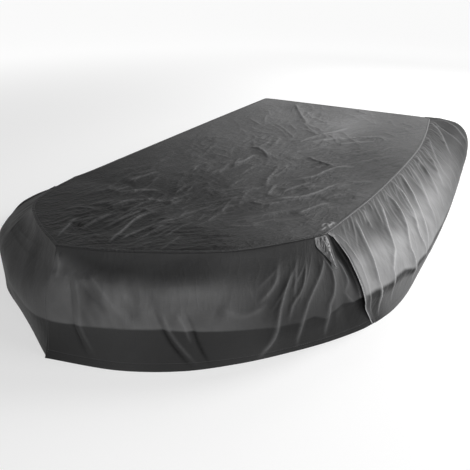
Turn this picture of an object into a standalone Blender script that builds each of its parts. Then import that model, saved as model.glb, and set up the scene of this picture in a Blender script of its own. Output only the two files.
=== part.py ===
"""Fitted cover for a small inflatable boat, draped as if the boat were under it.

The cover is hollow and open underneath. +Z is up, the bow points to -Y, port is +X, and the origin
is on the ground under the middle of the cover. The hem lies on the ground plane.

The skirt is laid out in two coordinates: "girth", the distance round the widest line of the cover
from the bow tip (port positive, starboard negative), and "fall", which is 0 at the top seam, BELLY_FALL
at the widest line and 1 at the hem.
"""

import math
from collections import namedtuple

import bmesh
import bpy
from mathutils import Vector

# --- Driving dimensions, metres -------------------------------------------------------------

CLOTH = 0.002  # thickness of every sheet
GAP = 0.0005  # clear space between sewn layers
LAYER = CLOTH + GAP  # one sewn layer below the next
LAP_LAYER = CLOTH + 0.002  # a draped layer below the next

TOP_HEIGHT = 0.248  # flat stretch of the top above the hem
BOW_TOP_HEIGHT = 0.359  # the top at the bow tip
BELLY_HEIGHT = 0.077  # widest line along the sides
BOW_BELLY_HEIGHT = 0.145  # widest line round the bow
RISE_START_Y = -0.66  # the top climbs from here to the bow tip
BOW_TIP_Y = -1.349
BELLY_RISE_START_Y = -0.30
BELLY_RISE_END_Y = -1.25
RISE_POWER = 1.15

HEM_HEIGHT = 0.001  # the hem's outer edge, so that its cut edge clears the ground
TOP_SAG = 0.012  # the top hangs this much between its seams
BELLY_FALL = 0.68  # share of a skirt's length that lies above the widest line
SEAM_ALLOWANCE = 0.014  # skirt cloth sewn under the top's edge
SIDE_LAP = 0.045  # cloth that runs on under the next panel of the skirt
LAP_RAMP = 0.055  # length over which a skirt panel dives under its neighbour

# How the skirt leaves the seam, as shares of its run out and of its drop: at steep 0, and what each
# gains at steep 1.
LEAVE_RUN = 0.32
LEAVE_RUN_PER_STEEP = -0.24
LEAVE_DROP = 0.22
LEAVE_DROP_PER_STEEP = 0.28
ARRIVE_RUN = 0.03  # share of the run still to go where the skirt turns down to the widest line
UNDER_HEIGHT_SHARE = 0.55  # height of the turn below the widest line, as a share of its height

# Where along a fold it has risen to its full height and where it starts to die out.
FOLD_GROWN = 0.35
FOLD_FADES = 0.75

SPINE_FORE_Y = -0.80  # the top's rings close onto a line between these two places
SPINE_AFT_Y = 0.72
TOP_RINGS = (0.24, 0.46, 0.66, 0.84)  # shares of the way from the spine to the seam

STEP = 0.055  # station spacing along the bow and the sides
STERN_STEP = 0.085

CHARCOAL = (0.045, 0.045, 0.047, 1.0)
COVER_ROUGHNESS = 0.62

# --- The shape, as sections round one half --------------------------------------------------
# Each row is one line down the skirt: where it leaves the seam, crosses the widest line and meets
# the hem, seen from above; how steeply it drops before it runs out over the tube (1 is steep, below 0
# it runs out level first); and how full its curve is above the widest line (0 to 1).

Section = namedtuple("Section", "name seam_x seam_y belly_x belly_y hem_x hem_y steep full")

SECTIONS = (
    Section("bow_tip", 0.000, -1.349, 0.000, -1.437, 0.000, -1.470, 0.75, 0.62),
    Section("bow_inner", 0.150, -1.268, 0.215, -1.388, 0.240, -1.398, 0.80, 0.62),
    Section("bow_middle", 0.300, -1.150, 0.400, -1.300, 0.425, -1.297, 0.85, 0.62),
    Section("bow_outer", 0.440, -1.010, 0.540, -1.212, 0.555, -1.184, 0.80, 0.60),
    Section("fan_inner", 0.555, -0.800, 0.655, -1.110, 0.660, -1.070, 0.60, 0.55),
    Section("fan_outer", 0.605, -0.705, 0.765, -0.960, 0.770, -0.932, 0.45, 0.50),
    Section("shoulder", 0.628, -0.655, 0.852, -0.790, 0.868, -0.768, 0.35, 0.48),
    Section("fore_side", 0.655, -0.430, 0.905, -0.540, 0.922, -0.575, 0.40, 0.46),
    Section("side", 0.680, -0.190, 0.946, -0.290, 0.935, -0.330, 0.45, 0.46),
    Section("midships", 0.702, 0.250, 0.953, 0.180, 0.940, 0.160, 0.45, 0.46),
    Section("aft_side", 0.702, 0.600, 0.938, 0.580, 0.920, 0.570, 0.40, 0.48),
    Section("quarter", 0.680, 0.880, 0.920, 0.920, 0.902, 0.910, 0.20, 0.55),
    Section("fore_corner", 0.640, 1.190, 0.900, 1.235, 0.880, 1.215, -0.40, 0.80),
    Section("corner", 0.618, 1.296, 0.858, 1.412, 0.836, 1.386, -0.80, 1.00),
    Section("aft_corner", 0.560, 1.318, 0.680, 1.464, 0.668, 1.438, -0.50, 0.85),
    Section("stern_side", 0.300, 1.320, 0.330, 1.470, 0.330, 1.444, 0.10, 0.60),
    Section("stern", 0.000, 1.320, 0.000, 1.470, 0.000, 1.444, 0.20, 0.55),
)

# The cover sits a little askew: on the starboard side its bow seam is pulled forward, its side seam
# is drawn in to a straight line, and its bow hem hangs further aft.
FAR_BOW_PULL = 0.050
FAR_BOW_PULL_X = 0.46
FAR_BOW_PULL_REACH = 0.40
FAR_BOW_PULL_EASE = 0.15  # the pull sets in over this length from RISE_START_Y on
FAR_SEAM_X = 0.612
FAR_SEAM_SLACK = 0.08  # share of the seam's swing past FAR_SEAM_X that is left
FAR_HEM_PULL = 0.048
FAR_HEM_PULL_X = 0.26
FAR_HEM_PULL_REACH = 0.34
FAR_BELLY_PULL = 0.020
FAR_BELLY_PULL_X = 0.50
FAR_BELLY_PULL_REACH = 0.45
FAR_FULL_SHARE = 0.60
FAR_LEAST_STEEP = 0.35

# --- Folds ----------------------------------------------------------------------------------
# A skirt fold is a soft ridge (height above 0) or trough (below 0) that runs from girth "top" at fall
# "start" to girth "foot" at fall "end", "wide" across at its middle.

SkirtFold = namedtuple("SkirtFold", "name top foot start end wide height")

# At each shoulder the side panel laps over the bow panel. Its edge stands up in a lip, and on the port
# side the bow panel sinks beside it in a deep gap.
PORT_LIP = (SkirtFold("port_lip", 1.150, 1.150, 0.05, 1.30, 0.055, 0.022),)
PORT_GAP = (SkirtFold("port_gap", 1.105, 1.020, 0.03, 1.00, 0.090, -0.034),)
FAR_LIP = (SkirtFold("far_lip", -1.150, -1.150, 0.05, 1.30, 0.060, 0.014),)

PORT_SIDE_FOLDS = (
    SkirtFold("pleat_1", 1.27, 1.17, 0.03, 1.20, 0.060, 0.014),
    SkirtFold("pleat_2", 1.41, 1.20, 0.06, 1.10, 0.065, 0.020),
    SkirtFold("pleat_3", 1.50, 1.30, 0.03, 1.00, 0.060, 0.014),
    SkirtFold("pleat_4", 1.62, 1.34, 0.05, 0.90, 0.070, 0.019),
    SkirtFold("pleat_5", 1.74, 1.46, 0.03, 0.85, 0.065, 0.012),
    SkirtFold("pleat_6", 1.88, 1.47, 0.04, 0.85, 0.075, 0.020),
    SkirtFold("pleat_7", 2.06, 1.70, 0.03, 0.90, 0.075, 0.014),
    SkirtFold("pleat_8", 2.25, 1.83, 0.03, 0.85, 0.080, 0.018),
    SkirtFold("pleat_9", 2.43, 2.01, 0.03, 0.80, 0.075, 0.014),
    SkirtFold("pleat_10", 2.61, 2.20, 0.02, 0.85, 0.080, 0.016),
    SkirtFold("pleat_11", 2.80, 2.42, 0.02, 0.85, 0.080, 0.015),
    SkirtFold("pleat_12", 2.98, 2.64, 0.02, 0.90, 0.075, 0.015),
    SkirtFold("corner_gather_1", 3.14, 2.88, 0.02, 0.85, 0.070, 0.014),
    SkirtFold("corner_gather_2", 3.26, 3.10, 0.02, 0.85, 0.065, 0.012),
)

PORT_BOW_FOLDS = (
    SkirtFold("fan_crest_1", 1.050, 0.900, 0.22, 1.25, 0.055, 0.020),
    SkirtFold("fan_crest_2", 0.985, 0.830, 0.10, 1.00, 0.050, 0.015),
    SkirtFold("fan_crest_3", 0.900, 0.750, 0.08, 1.15, 0.050, 0.017),
    SkirtFold("fan_crest_4", 0.815, 0.655, 0.08, 1.20, 0.055, 0.017),
    SkirtFold("fan_crest_5", 0.720, 0.600, 0.20, 0.75, 0.055, 0.010),
    SkirtFold("low_crease_1", 0.350, 0.465, 0.50, 1.15, 0.050, -0.014),
    SkirtFold("low_crease_2", 0.455, 0.535, 0.50, 1.20, 0.050, -0.012),
    SkirtFold("prow_crease", 0.050, 0.160, 0.25, 1.20, 0.050, -0.012),
    SkirtFold("prow_band", 0.150, 0.300, 0.18, 0.70, 0.060, 0.010),
)

FAR_BOW_FOLDS = (
    SkirtFold("far_prow_crease", -0.16, -0.22, 0.30, 1.10, 0.060, -0.010),
    SkirtFold("far_band_1", -0.38, -0.46, 0.05, 0.80, 0.080, 0.014),
    SkirtFold("far_band_2", -0.60, -0.72, 0.05, 0.90, 0.080, 0.012),
    SkirtFold("far_fan_crest_1", -0.84, -0.80, 0.10, 1.10, 0.070, 0.016),
    SkirtFold("far_fan_crest_2", -1.01, -0.98, 0.10, 1.10, 0.065, 0.016),
)

FAR_SIDE_FOLDS = (
    SkirtFold("far_pleat_1", -1.36, -1.31, 0.02, 1.00, 0.085, 0.016),
    SkirtFold("far_pleat_2", -1.61, -1.58, 0.02, 0.90, 0.090, 0.014),
    SkirtFold("far_pleat_3", -1.88, -1.82, 0.02, 1.00, 0.090, 0.017),
    SkirtFold("far_pleat_4", -2.13, -2.10, 0.02, 0.90, 0.095, 0.013),
    SkirtFold("far_pleat_5", -2.41, -2.36, 0.02, 0.95, 0.090, 0.016),
    SkirtFold("far_pleat_6", -2.70, -2.66, 0.02, 0.90, 0.090, 0.014),
    SkirtFold("far_pleat_7", -2.95, -2.93, 0.02, 0.95, 0.085, 0.015),
    SkirtFold("far_corner_gather", -3.17, -3.17, 0.02, 0.85, 0.075, 0.013),
)

STERN_FOLDS = (
    SkirtFold("stern_pleat_1", 3.46, 3.46, 0.02, 0.90, 0.080, 0.012),
    SkirtFold("stern_pleat_2", 3.74, 3.72, 0.02, 1.00, 0.090, 0.010),
    SkirtFold("stern_pleat_3", -3.86, -3.84, 0.02, 0.90, 0.090, 0.011),
    SkirtFold("stern_pleat_4", -3.52, -3.52, 0.02, 1.00, 0.080, 0.012),
)

SHARED_FOLDS = PORT_SIDE_FOLDS + PORT_BOW_FOLDS + FAR_BOW_FOLDS + FAR_SIDE_FOLDS + STERN_FOLDS

# A fold of the top is a soft ridge or hollow centred at (x, y) that runs along "heading", in degrees
# from +X towards +Y.

TopFold = namedtuple("TopFold", "name x y heading length wide height")

TOP_FOLDS = (
    TopFold("bow_hollow", -0.02, -1.16, 70, 0.20, 0.090, -0.014),
    TopFold("bow_ridge_port", 0.14, -1.05, 62, 0.42, 0.060, 0.010),
    TopFold("bow_ridge_starboard", -0.20, -1.00, 110, 0.40, 0.070, 0.009),
    TopFold("fore_ridge_1", 0.05, -0.82, 78, 0.40, 0.060, 0.009),
    TopFold("fore_ridge_2", 0.30, -0.66, 66, 0.44, 0.055, 0.008),
    TopFold("middle_ridge_1", -0.18, -0.42, 40, 0.46, 0.070, 0.010),
    TopFold("middle_ridge_2", 0.26, -0.20, 150, 0.52, 0.060, 0.009),
    TopFold("middle_hollow", 0.02, 0.08, 20, 0.50, 0.130, -0.010),
    TopFold("aft_ridge_1", 0.34, 0.30, 158, 0.56, 0.055, 0.010),
    TopFold("aft_ridge_2", 0.24, 0.62, 165, 0.60, 0.055, 0.009),
    TopFold("aft_ridge_3", -0.26, 0.74, 25, 0.44, 0.070, 0.009),
    TopFold("stern_ridge", -0.34, 1.06, 80, 0.34, 0.060, 0.011),
)
TOP_FOLD_FADE = 0.10  # folds of the top die out this far from the seam

# --- The tuck: a pinch of surplus cloth that hangs from the seam at the port shoulder ---------

TUCK_GIRTH = 1.062
TUCK_LEAN = -0.034  # girth gained from its root to its point
TUCK_LENGTH_FALL = 0.30
TUCK_START_FALL = 0.03
TUCK_HALF_WIDTH = 0.042
TUCK_ROOT_STAND = CLOTH + 0.001  # its outer face over the skirt's at the root
TUCK_STAND = 0.006  # how much further its point stands off
TUCK_CREST = 0.016  # height of its folded middle over its rim
TUCK_ROWS = 8
TUCK_NARROWING = 0.85  # share of its width lost at its point
TUCK_NARROWING_POWER = 1.5
TUCK_CREST_TURN = 0.85 * math.pi  # the crest swells and sinks again along the leaf

# Across the leaf: the place, from -1 to 1, and the share of the crest's height there.
TUCK_PROFILE = ((-1.0, 0.0), (-0.45, 0.55), (0.1, 1.0), (0.5, 0.35), (1.0, 0.0))

UP = Vector((0.0, 0.0, 1.0))

# --- Small curves ---------------------------------------------------------------------------


def smooth(value, low, high):
    """0 at low, 1 at high, and level at both."""
    k = min(1.0, max(0.0, (value - low) / (high - low)))
    return k * k * (3.0 - 2.0 * k)


def bell(distance, wide):
    """A soft hump of height 1, down to nothing at `wide` from its middle."""
    if abs(distance) >= wide:
        return 0.0
    return 0.5 * (1.0 + math.cos(math.pi * distance / wide))


def blend_bezier(points, k):
    """The point at k on the Bezier curve through its control points."""
    points = list(points)
    while len(points) > 1:
        points = [a.lerp(b, k) for a, b in zip(points, points[1:])]
    return points[0]


def spline(points, knots, corners, at):
    """Cubic curve through points at knots, with sharp turns at the knots listed in corners."""
    last = len(knots) - 2
    i = 1
    while i < last and at > knots[i + 1]:
        i += 1
    if at < knots[1]:
        i = 0
    span = knots[i + 1] - knots[i]
    chord = (points[i + 1] - points[i]) / span

    def slope(j):
        if j in corners or j == 0 or j == len(knots) - 1:
            return chord
        return (points[j + 1] - points[j - 1]) / (knots[j + 1] - knots[j - 1])

    k = (at - knots[i]) / span
    start, end = slope(i) * span, slope(i + 1) * span
    a, b = points[i], points[i + 1]
    return (
        a * (2 * k**3 - 3 * k**2 + 1)
        + start * (k**3 - 2 * k**2 + k)
        + b * (3 * k**2 - 2 * k**3)
        + end * (k**3 - k**2)
    )


# --- Heights --------------------------------------------------------------------------------


def seam_height(y):
    climb = max(0.0, (RISE_START_Y - y) / (RISE_START_Y - BOW_TIP_Y))
    return TOP_HEIGHT + (BOW_TOP_HEIGHT - TOP_HEIGHT) * climb**RISE_POWER


def belly_height(y):
    share = smooth(-y, -BELLY_RISE_START_Y, -BELLY_RISE_END_Y)
    return BELLY_HEIGHT + (BOW_BELLY_HEIGHT - BELLY_HEIGHT) * share


# --- Sections as curves of the girth ----------------------------------------------------------


def girth_knots():
    """The girth of each section: how far round the widest line it lies from the bow tip."""
    knots = [0.0]
    for a, b in zip(SECTIONS, SECTIONS[1:]):
        knots.append(knots[-1] + math.hypot(b.belly_x - a.belly_x, b.belly_y - a.belly_y))
    return knots


HALF_KNOTS = girth_knots()
HALF_GIRTH = HALF_KNOTS[-1]
GIRTH_OF = {s.name: k for s, k in zip(SECTIONS, HALF_KNOTS)}

# Both ends carry one mirrored section more, so that the curves run smoothly across the middle.
KNOTS = [-HALF_KNOTS[1], *HALF_KNOTS, 2 * HALF_GIRTH - HALF_KNOTS[-2]]
TIP_KNOT = 1
SHOULDER_KNOT = 1 + [s.name for s in SECTIONS].index("shoulder")


def with_mirrored_ends(points):
    first, last = points[1].copy(), points[-2].copy()
    first.x, last.x = -first.x, -last.x
    return [first, *points, last]


SEAM_LINE = with_mirrored_ends([Vector((s.seam_x, s.seam_y, 0)) for s in SECTIONS])
BELLY_LINE = with_mirrored_ends([Vector((s.belly_x, s.belly_y, 0)) for s in SECTIONS])
HEM_LINE = with_mirrored_ends([Vector((s.hem_x, s.hem_y, 0)) for s in SECTIONS])
DRAPE_LINE = with_mirrored_ends([Vector((0, s.full, s.steep)) for s in SECTIONS])


def unwrap(girth):
    """Signed girth as (side, distance from the bow tip); girths past the stern's middle come round."""
    full = 2 * HALF_GIRTH
    signed = (girth + HALF_GIRTH) % full - HALF_GIRTH
    return (1.0 if signed >= 0 else -1.0), abs(signed)


def seam_point(girth):
    side, along = unwrap(girth)
    point = spline(SEAM_LINE, KNOTS, (TIP_KNOT, SHOULDER_KNOT), along)
    if side < 0:
        pull = FAR_BOW_PULL * bell(point.x - FAR_BOW_PULL_X, FAR_BOW_PULL_REACH)
        point.y -= pull * smooth(RISE_START_Y - point.y, 0.0, FAR_BOW_PULL_EASE)
        past = max(0.0, point.x - FAR_SEAM_X)
        point.x = min(point.x, FAR_SEAM_X + FAR_SEAM_SLACK * past)
    point.x *= side
    point.z = seam_height(point.y)
    return point


def belly_point(girth):
    side, along = unwrap(girth)
    point = spline(BELLY_LINE, KNOTS, (), along)
    if side < 0 and point.y < 0:
        point.y += FAR_BELLY_PULL * bell(point.x - FAR_BELLY_PULL_X, FAR_BELLY_PULL_REACH)
    point.x *= side
    point.z = belly_height(point.y)
    return point


def hem_point(girth):
    side, along = unwrap(girth)
    point = spline(HEM_LINE, KNOTS, (TIP_KNOT,), along)
    if side < 0 and point.y < 0:
        point.y += FAR_HEM_PULL * bell(point.x - FAR_HEM_PULL_X, FAR_HEM_PULL_REACH)
    point.x *= side
    return point


def drape(girth):
    """How steep and how full the skirt is at a girth."""
    side, along = unwrap(girth)
    point = spline(DRAPE_LINE, KNOTS, (), along)
    if side < 0:
        return max(point.z, FAR_LEAST_STEEP), point.y * FAR_FULL_SHARE
    return point.z, point.y


# --- The top --------------------------------------------------------------------------------


def spine_point(girth):
    """Where the top's rings close: the place on the spine abreast of both seams at this girth."""
    abreast = 0.5 * (seam_point(girth).y + seam_point(-girth).y)
    return Vector((0.0, min(SPINE_AFT_Y, max(SPINE_FORE_Y, abreast)), 0.0))


def top_fold_height(x, y):
    height = 0.0
    for fold in TOP_FOLDS:
        turn = math.radians(fold.heading)
        dx, dy = x - fold.x, y - fold.y
        along = dx * math.cos(turn) + dy * math.sin(turn)
        across = dy * math.cos(turn) - dx * math.sin(turn)
        height += fold.height * bell(along, fold.length) * bell(across, fold.wide)
    return height


def top_point(girth, share):
    """The point of the top at `share` of the way from the spine to the seam."""
    root, seam = spine_point(girth), seam_point(girth)
    point = root.lerp(Vector((seam.x, seam.y, 0.0)), share)
    inland = top_reach(girth) * (1.0 - share)
    sag = TOP_SAG * (1.0 - share**2)
    folds = top_fold_height(point.x, point.y) * smooth(inland, 0.0, TOP_FOLD_FADE)
    point.z = seam_height(point.y) - sag + folds
    return point


def top_reach(girth):
    """The distance from the spine to the seam."""
    root, seam = spine_point(girth), seam_point(girth)
    return math.hypot(seam.x - root.x, seam.y - root.y)


def allowance_share(girth):
    return 1.0 - SEAM_ALLOWANCE / top_reach(girth)


# --- The skirt ------------------------------------------------------------------------------


def skirt_base(girth, fall):
    """The smooth skirt without its folds."""
    seam, belly, hem = seam_point(girth), belly_point(girth), hem_point(girth)
    seam.z -= LAYER
    run = Vector((belly.x - seam.x, belly.y - seam.y, 0.0))
    drop = Vector((0.0, 0.0, seam.z - belly.z))
    if fall <= BELLY_FALL:
        steep, full = drape(girth)
        leaving = seam + run * (LEAVE_RUN + LEAVE_RUN_PER_STEEP * steep)
        leaving -= drop * (LEAVE_DROP + LEAVE_DROP_PER_STEEP * steep)
        arriving = belly + drop * full - run * ARRIVE_RUN
        return blend_bezier((seam, leaving, arriving, belly), fall / BELLY_FALL)
    below = Vector((belly.x, belly.y, belly.z * UNDER_HEIGHT_SHARE))
    return blend_bezier((belly, below, hem), (fall - BELLY_FALL) / (1.0 - BELLY_FALL))


def outward(girth, fall):
    """The skirt's outward direction at a place."""
    step = 0.01
    low, high = max(0.0, fall - step), min(1.0, fall + step)
    down = skirt_base(girth, high) - skirt_base(girth, low)
    round_ = skirt_base(girth + step, fall) - skirt_base(girth - step, fall)
    return round_.cross(-down).normalized()


def fold_height(own_folds, girth, fall):
    side, along = unwrap(girth)
    girth = side * along
    height = 0.0
    for fold in SHARED_FOLDS + own_folds:
        k = (fall - fold.start) / (fold.end - fold.start)
        if not 0.0 < k < 1.0:
            continue
        middle = fold.top + (fold.foot - fold.top) * k
        grown = smooth(k, 0.0, FOLD_GROWN) * (1.0 - smooth(k, FOLD_FADES, 1.0))
        height += fold.height * grown * bell(girth - middle, fold.wide)
    return height


def skirt_point(girth, fall, own_folds, sunk=0.0):
    """A point of the finished skirt, `sunk` below its outer face."""
    normal = outward(girth, fall)
    lift = fold_height(own_folds, girth, fall)
    point = skirt_base(girth, fall) + normal * lift
    if fall == 0.0:  # the bend at the seam: stay clear of both the top and the skirt
        normal = (normal + UP) / (1.0 + normal.dot(UP))
    point -= normal * sunk
    point.z = max(point.z, HEM_HEIGHT)
    return point


def allowance_point(girth, sunk=0.0):
    """The skirt's upper edge, sewn flat under the top."""
    point = top_point(girth, allowance_share(girth))
    point.z -= LAYER + sunk
    return point


# --- Stations -------------------------------------------------------------------------------


def steps_between(start, end, step):
    """Evenly spaced girths from start up to, but without, end."""
    count = max(1, round((end - start) / step))
    return [start + (end - start) * i / count for i in range(count)]


def station_girths():
    """The girths of all stations, once round; the laps of the skirt panels have stations of their own."""
    shoulder, corner = GIRTH_OF["shoulder"], GIRTH_OF["corner"]
    breaks = (0.0, SIDE_LAP, shoulder, shoulder + SIDE_LAP, corner - SIDE_LAP, corner)
    half = []
    for start, end in zip(breaks, breaks[1:]):
        half += steps_between(start, end, STEP)
    half += steps_between(corner, HALF_GIRTH, STERN_STEP)
    return [-girth for girth in half[:0:-1]] + half + [HALF_GIRTH]


STATIONS = station_girths()


def stations_from(start, end):
    """The stations from start to end; an end past the stern's middle comes round."""
    slack = 1e-6
    turned = STATIONS + [girth + 2 * HALF_GIRTH for girth in STATIONS]
    return [girth for girth in turned if start - slack <= girth <= end + slack]


# --- Building -------------------------------------------------------------------------------


def clear_scene():
    for item in list(bpy.data.objects):
        bpy.data.objects.remove(item, do_unlink=True)


def new_collection(name):
    collection = bpy.data.collections.new(name)
    bpy.context.scene.collection.children.link(collection)
    return collection


def cloth_material(name):
    material = bpy.data.materials.new(name)
    material.use_nodes = True
    shader = material.node_tree.nodes["Principled BSDF"]
    shader.inputs["Base Color"].default_value = CHARCOAL
    shader.inputs["Roughness"].default_value = COVER_ROUGHNESS
    shader.inputs["Metallic"].default_value = 0.0
    return material


def add_sheet(name, rows, collection, closed=False):
    """A sheet through rows of points, each row as long as the next, thickened inwards."""
    mesh = bpy.data.meshes.new(name)
    work = bmesh.new()
    grid = [[work.verts.new(point) for point in row] for row in rows]
    width = len(grid[0])
    for upper, lower in zip(grid, grid[1:]):
        for i in range(width if closed else width - 1):
            j = (i + 1) % width
            work.faces.new((upper[i], lower[i], lower[j], upper[j]))
    bmesh.ops.remove_doubles(work, verts=work.verts, dist=1e-6)
    bmesh.ops.dissolve_degenerate(work, edges=work.edges, dist=1e-6)
    work.to_mesh(mesh)
    work.free()
    mesh.shade_smooth()
    sheet = bpy.data.objects.new(name, mesh)
    collection.objects.link(sheet)
    mesh.materials.append(cloth_material(name))
    thicken = sheet.modifiers.new("cloth", "SOLIDIFY")
    thicken.thickness = CLOTH
    thicken.offset = -1.0
    thicken.use_even_offset = False
    return sheet


def add_top_panel(collection):
    """Rings from the spine out to the seam, each with every station of the skirt."""
    shares = [[share] * len(STATIONS) for share in (0.0, *TOP_RINGS)]
    shares.append([allowance_share(girth) for girth in STATIONS])
    shares.append([1.0] * len(STATIONS))
    rows = [[top_point(g, share) for g, share in zip(STATIONS, ring)] for ring in shares]
    return add_sheet("top_panel", rows, collection, closed=True)


UPPER_FALLS = (0.0, 0.10, 0.22, 0.36, 0.52, 0.68)
LOWER_FALLS = (0.80, 0.90, 1.0)


def add_skirt_panel(name, start, end, own_folds, dives, collection):
    """A skirt panel between two girths. `dives` holds the girths past which it runs under others."""
    girths = stations_from(start, end)

    def sunk(girth):
        depth = 0.0
        for edge, heading in dives:
            depth += LAP_LAYER * smooth((girth - edge) * heading, -LAP_RAMP, -1e-4)
        return depth

    rows = [[allowance_point(g, sunk(g)) for g in girths]]
    for fall in UPPER_FALLS + LOWER_FALLS:
        rows.append([skirt_point(g, fall, own_folds, sunk(g)) for g in girths])
    return add_sheet(name, rows, collection)


def add_tuck(collection):
    """A pointed leaf of doubled-over cloth with a raised middle, standing just off the bow panel."""
    rows = []
    for i in range(TUCK_ROWS):
        k = i / (TUCK_ROWS - 1)
        fall = TUCK_START_FALL + TUCK_LENGTH_FALL * k
        half = TUCK_HALF_WIDTH * (1.0 - TUCK_NARROWING * k**TUCK_NARROWING_POWER)
        middle = TUCK_GIRTH + TUCK_LEAN * k
        stand = TUCK_ROOT_STAND + TUCK_STAND * k
        swell = TUCK_CREST * math.sin(TUCK_CREST_TURN * k)
        rows.append(
            [
                skirt_point(middle + place * half, fall, PORT_GAP, -(stand + swell * share))
                for place, share in TUCK_PROFILE
            ]
        )
    return add_sheet("shoulder_tuck", rows, collection)


def build():
    clear_scene()
    parts = new_collection("boat_cover")
    shoulder, corner = GIRTH_OF["shoulder"], GIRTH_OF["corner"]
    full = 2 * HALF_GIRTH
    add_top_panel(parts)
    add_skirt_panel("side_panel_port", shoulder, corner, PORT_LIP, (), parts)
    add_skirt_panel(
        "bow_panel_port", 0.0, shoulder + SIDE_LAP, PORT_GAP, ((shoulder, 1),), parts
    )
    add_skirt_panel(
        "bow_panel_starboard",
        -shoulder - SIDE_LAP,
        SIDE_LAP,
        (),
        ((-shoulder, -1), (0.0, 1)),
        parts,
    )
    add_skirt_panel("side_panel_starboard", -corner, -shoulder, FAR_LIP, (), parts)
    add_skirt_panel(
        "stern_panel",
        corner - SIDE_LAP,
        full - corner + SIDE_LAP,
        (),
        ((corner, -1), (full - corner, 1)),
        parts,
    )
    add_tuck(parts)


build()
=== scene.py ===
"""Looks of a fitted cover for a small inflatable boat: fine cloth, stitching, studio and camera.

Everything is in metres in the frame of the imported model: +Z is up, the bow points to -Y and port
is +X. The skirt is laid out in two coordinates: "girth", the distance round the widest line of the
cover from the bow tip (port positive, starboard negative), and "fall", which is 0 at the top seam,
BELLY_FALL at the widest line and 1 at the hem.
"""

import math
from collections import namedtuple

import bpy
import numpy as np
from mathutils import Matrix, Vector


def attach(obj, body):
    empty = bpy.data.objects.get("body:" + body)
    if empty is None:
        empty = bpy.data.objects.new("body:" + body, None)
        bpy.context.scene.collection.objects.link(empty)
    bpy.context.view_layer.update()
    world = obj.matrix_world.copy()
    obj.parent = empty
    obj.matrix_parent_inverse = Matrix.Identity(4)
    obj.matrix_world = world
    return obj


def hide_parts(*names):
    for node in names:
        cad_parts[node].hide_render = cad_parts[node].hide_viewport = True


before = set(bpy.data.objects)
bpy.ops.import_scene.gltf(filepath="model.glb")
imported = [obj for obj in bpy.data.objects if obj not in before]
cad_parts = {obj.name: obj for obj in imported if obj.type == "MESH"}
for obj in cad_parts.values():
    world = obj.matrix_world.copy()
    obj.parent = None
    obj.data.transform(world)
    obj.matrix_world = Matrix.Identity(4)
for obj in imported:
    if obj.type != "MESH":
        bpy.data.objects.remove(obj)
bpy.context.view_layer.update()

# --- Driving dimensions ---

LAYER = 0.0025  # the skirt's top edge under the top's edge
LAP_LAYER = 0.0018  # one cloth lying on the next
PROW_LAYER = 0.0005  # the same at the prow, where the seam is pressed flat
TOP_HEIGHT = 0.248
BOW_TOP_HEIGHT = 0.359
BELLY_HEIGHT = 0.077
BOW_BELLY_HEIGHT = 0.145
RISE_START_Y = -0.66  # where the top starts to rise to the bow
RISE_EASE = 0.10
BOW_TIP_Y = -1.349
STERN_Y = 1.318
BELLY_RISE_START_Y = -0.30
BELLY_RISE_END_Y = -1.25
RISE_POWER = 1.15
HEM_HEIGHT = 0.001
TOP_SAG = 0.012
BELLY_FALL = 0.68  # fall of the widest line
DROP = 0.36  # metres down the cloth from seam to hem
SIDE_LAP = 0.045
LAP_RAMP = 0.055  # girth over which a panel dives under its neighbour


def table(text):
    """Rows of a table written as text, with the names of its columns in the first line."""
    names, *lines = text.strip().splitlines()
    row = namedtuple("Row", names)
    return [row(*(cell if cell[0].isalpha() else float(cell) for cell in line.split())) for line in lines]


# Places round the cover: the top seam, the widest line and the hem there, and the skirt's drape.
SECTIONS = table("""
    name        seam_x seam_y belly_x belly_y hem_x hem_y  steep full
    bow_tip     0      -1.349 0       -1.437  0     -1.47  .75   .62
    bow_inner   .15    -1.268 .215    -1.388  .24   -1.398 .8    .62
    bow_middle  .3     -1.15  .4      -1.3    .425  -1.297 .85   .62
    bow_outer   .44    -1.01  .54     -1.212  .555  -1.184 .8    .6
    fan_inner   .555   -.8    .655    -1.11   .66   -1.07  .6    .55
    fan_outer   .605   -.705  .765    -.96    .77   -.932  .45   .5
    shoulder    .628   -.655  .852    -.79    .868  -.768  .35   .48
    fore_side   .655   -.43   .905    -.54    .922  -.575  .4    .46
    side        .68    -.19   .946    -.29    .935  -.33   .45   .46
    midships    .702   .25    .953    .18     .94   .16    .45   .46
    aft_side    .702   .6     .938    .58     .92   .57    .4    .48
    quarter     .68    .88    .92     .92     .902  .91    .2    .55
    fore_corner .64    1.19   .9      1.235   .88   1.215  -.4   .8
    corner      .618   1.296  .858    1.412   .836  1.386  -.8   1
    aft_corner  .56    1.318  .68     1.464   .668  1.438  -.5   .85
    stern_side  .3     1.32   .33     1.47    .33   1.444  .1    .6
    stern       0      1.32   0       1.47    0     1.444  .2    .55
""")

# The hidden side is pulled in at the bow: how far, about which x, and how far to each side of it.
Pull = namedtuple("Pull", "far x reach")
SEAM_PULL = Pull(0.050, 0.46, 0.40)
BELLY_PULL = Pull(0.020, 0.50, 0.45)
HEM_PULL = Pull(0.048, 0.26, 0.34)
SEAM_PULL_EASE = 0.15  # the seam's pull sets in over this length past the start of the rise
FAR_SEAM_X = 0.612
FAR_SEAM_GIVE = 0.08  # the share that is left of what lies past FAR_SEAM_X
FAR_FULL_SHARE = 0.60
FAR_LEAST_STEEP = 0.35
FAR_DRAPE_EASE = 0.25  # the hidden side's plainer drape sets in over this girth from the bow tip

# --- Curves ---


def smooth(value, low, high):
    """0 up to low, 1 from high on, and eased between them."""
    k = np.clip((value - low) / (high - low), 0.0, 1.0)
    return k * k * (3.0 - 2.0 * k)


def plateau(value, rise, decline):
    """0 at first, 1 after the span "rise", and 0 again after the span "decline"."""
    return smooth(value, *rise) * (1.0 - smooth(value, *decline))


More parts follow.
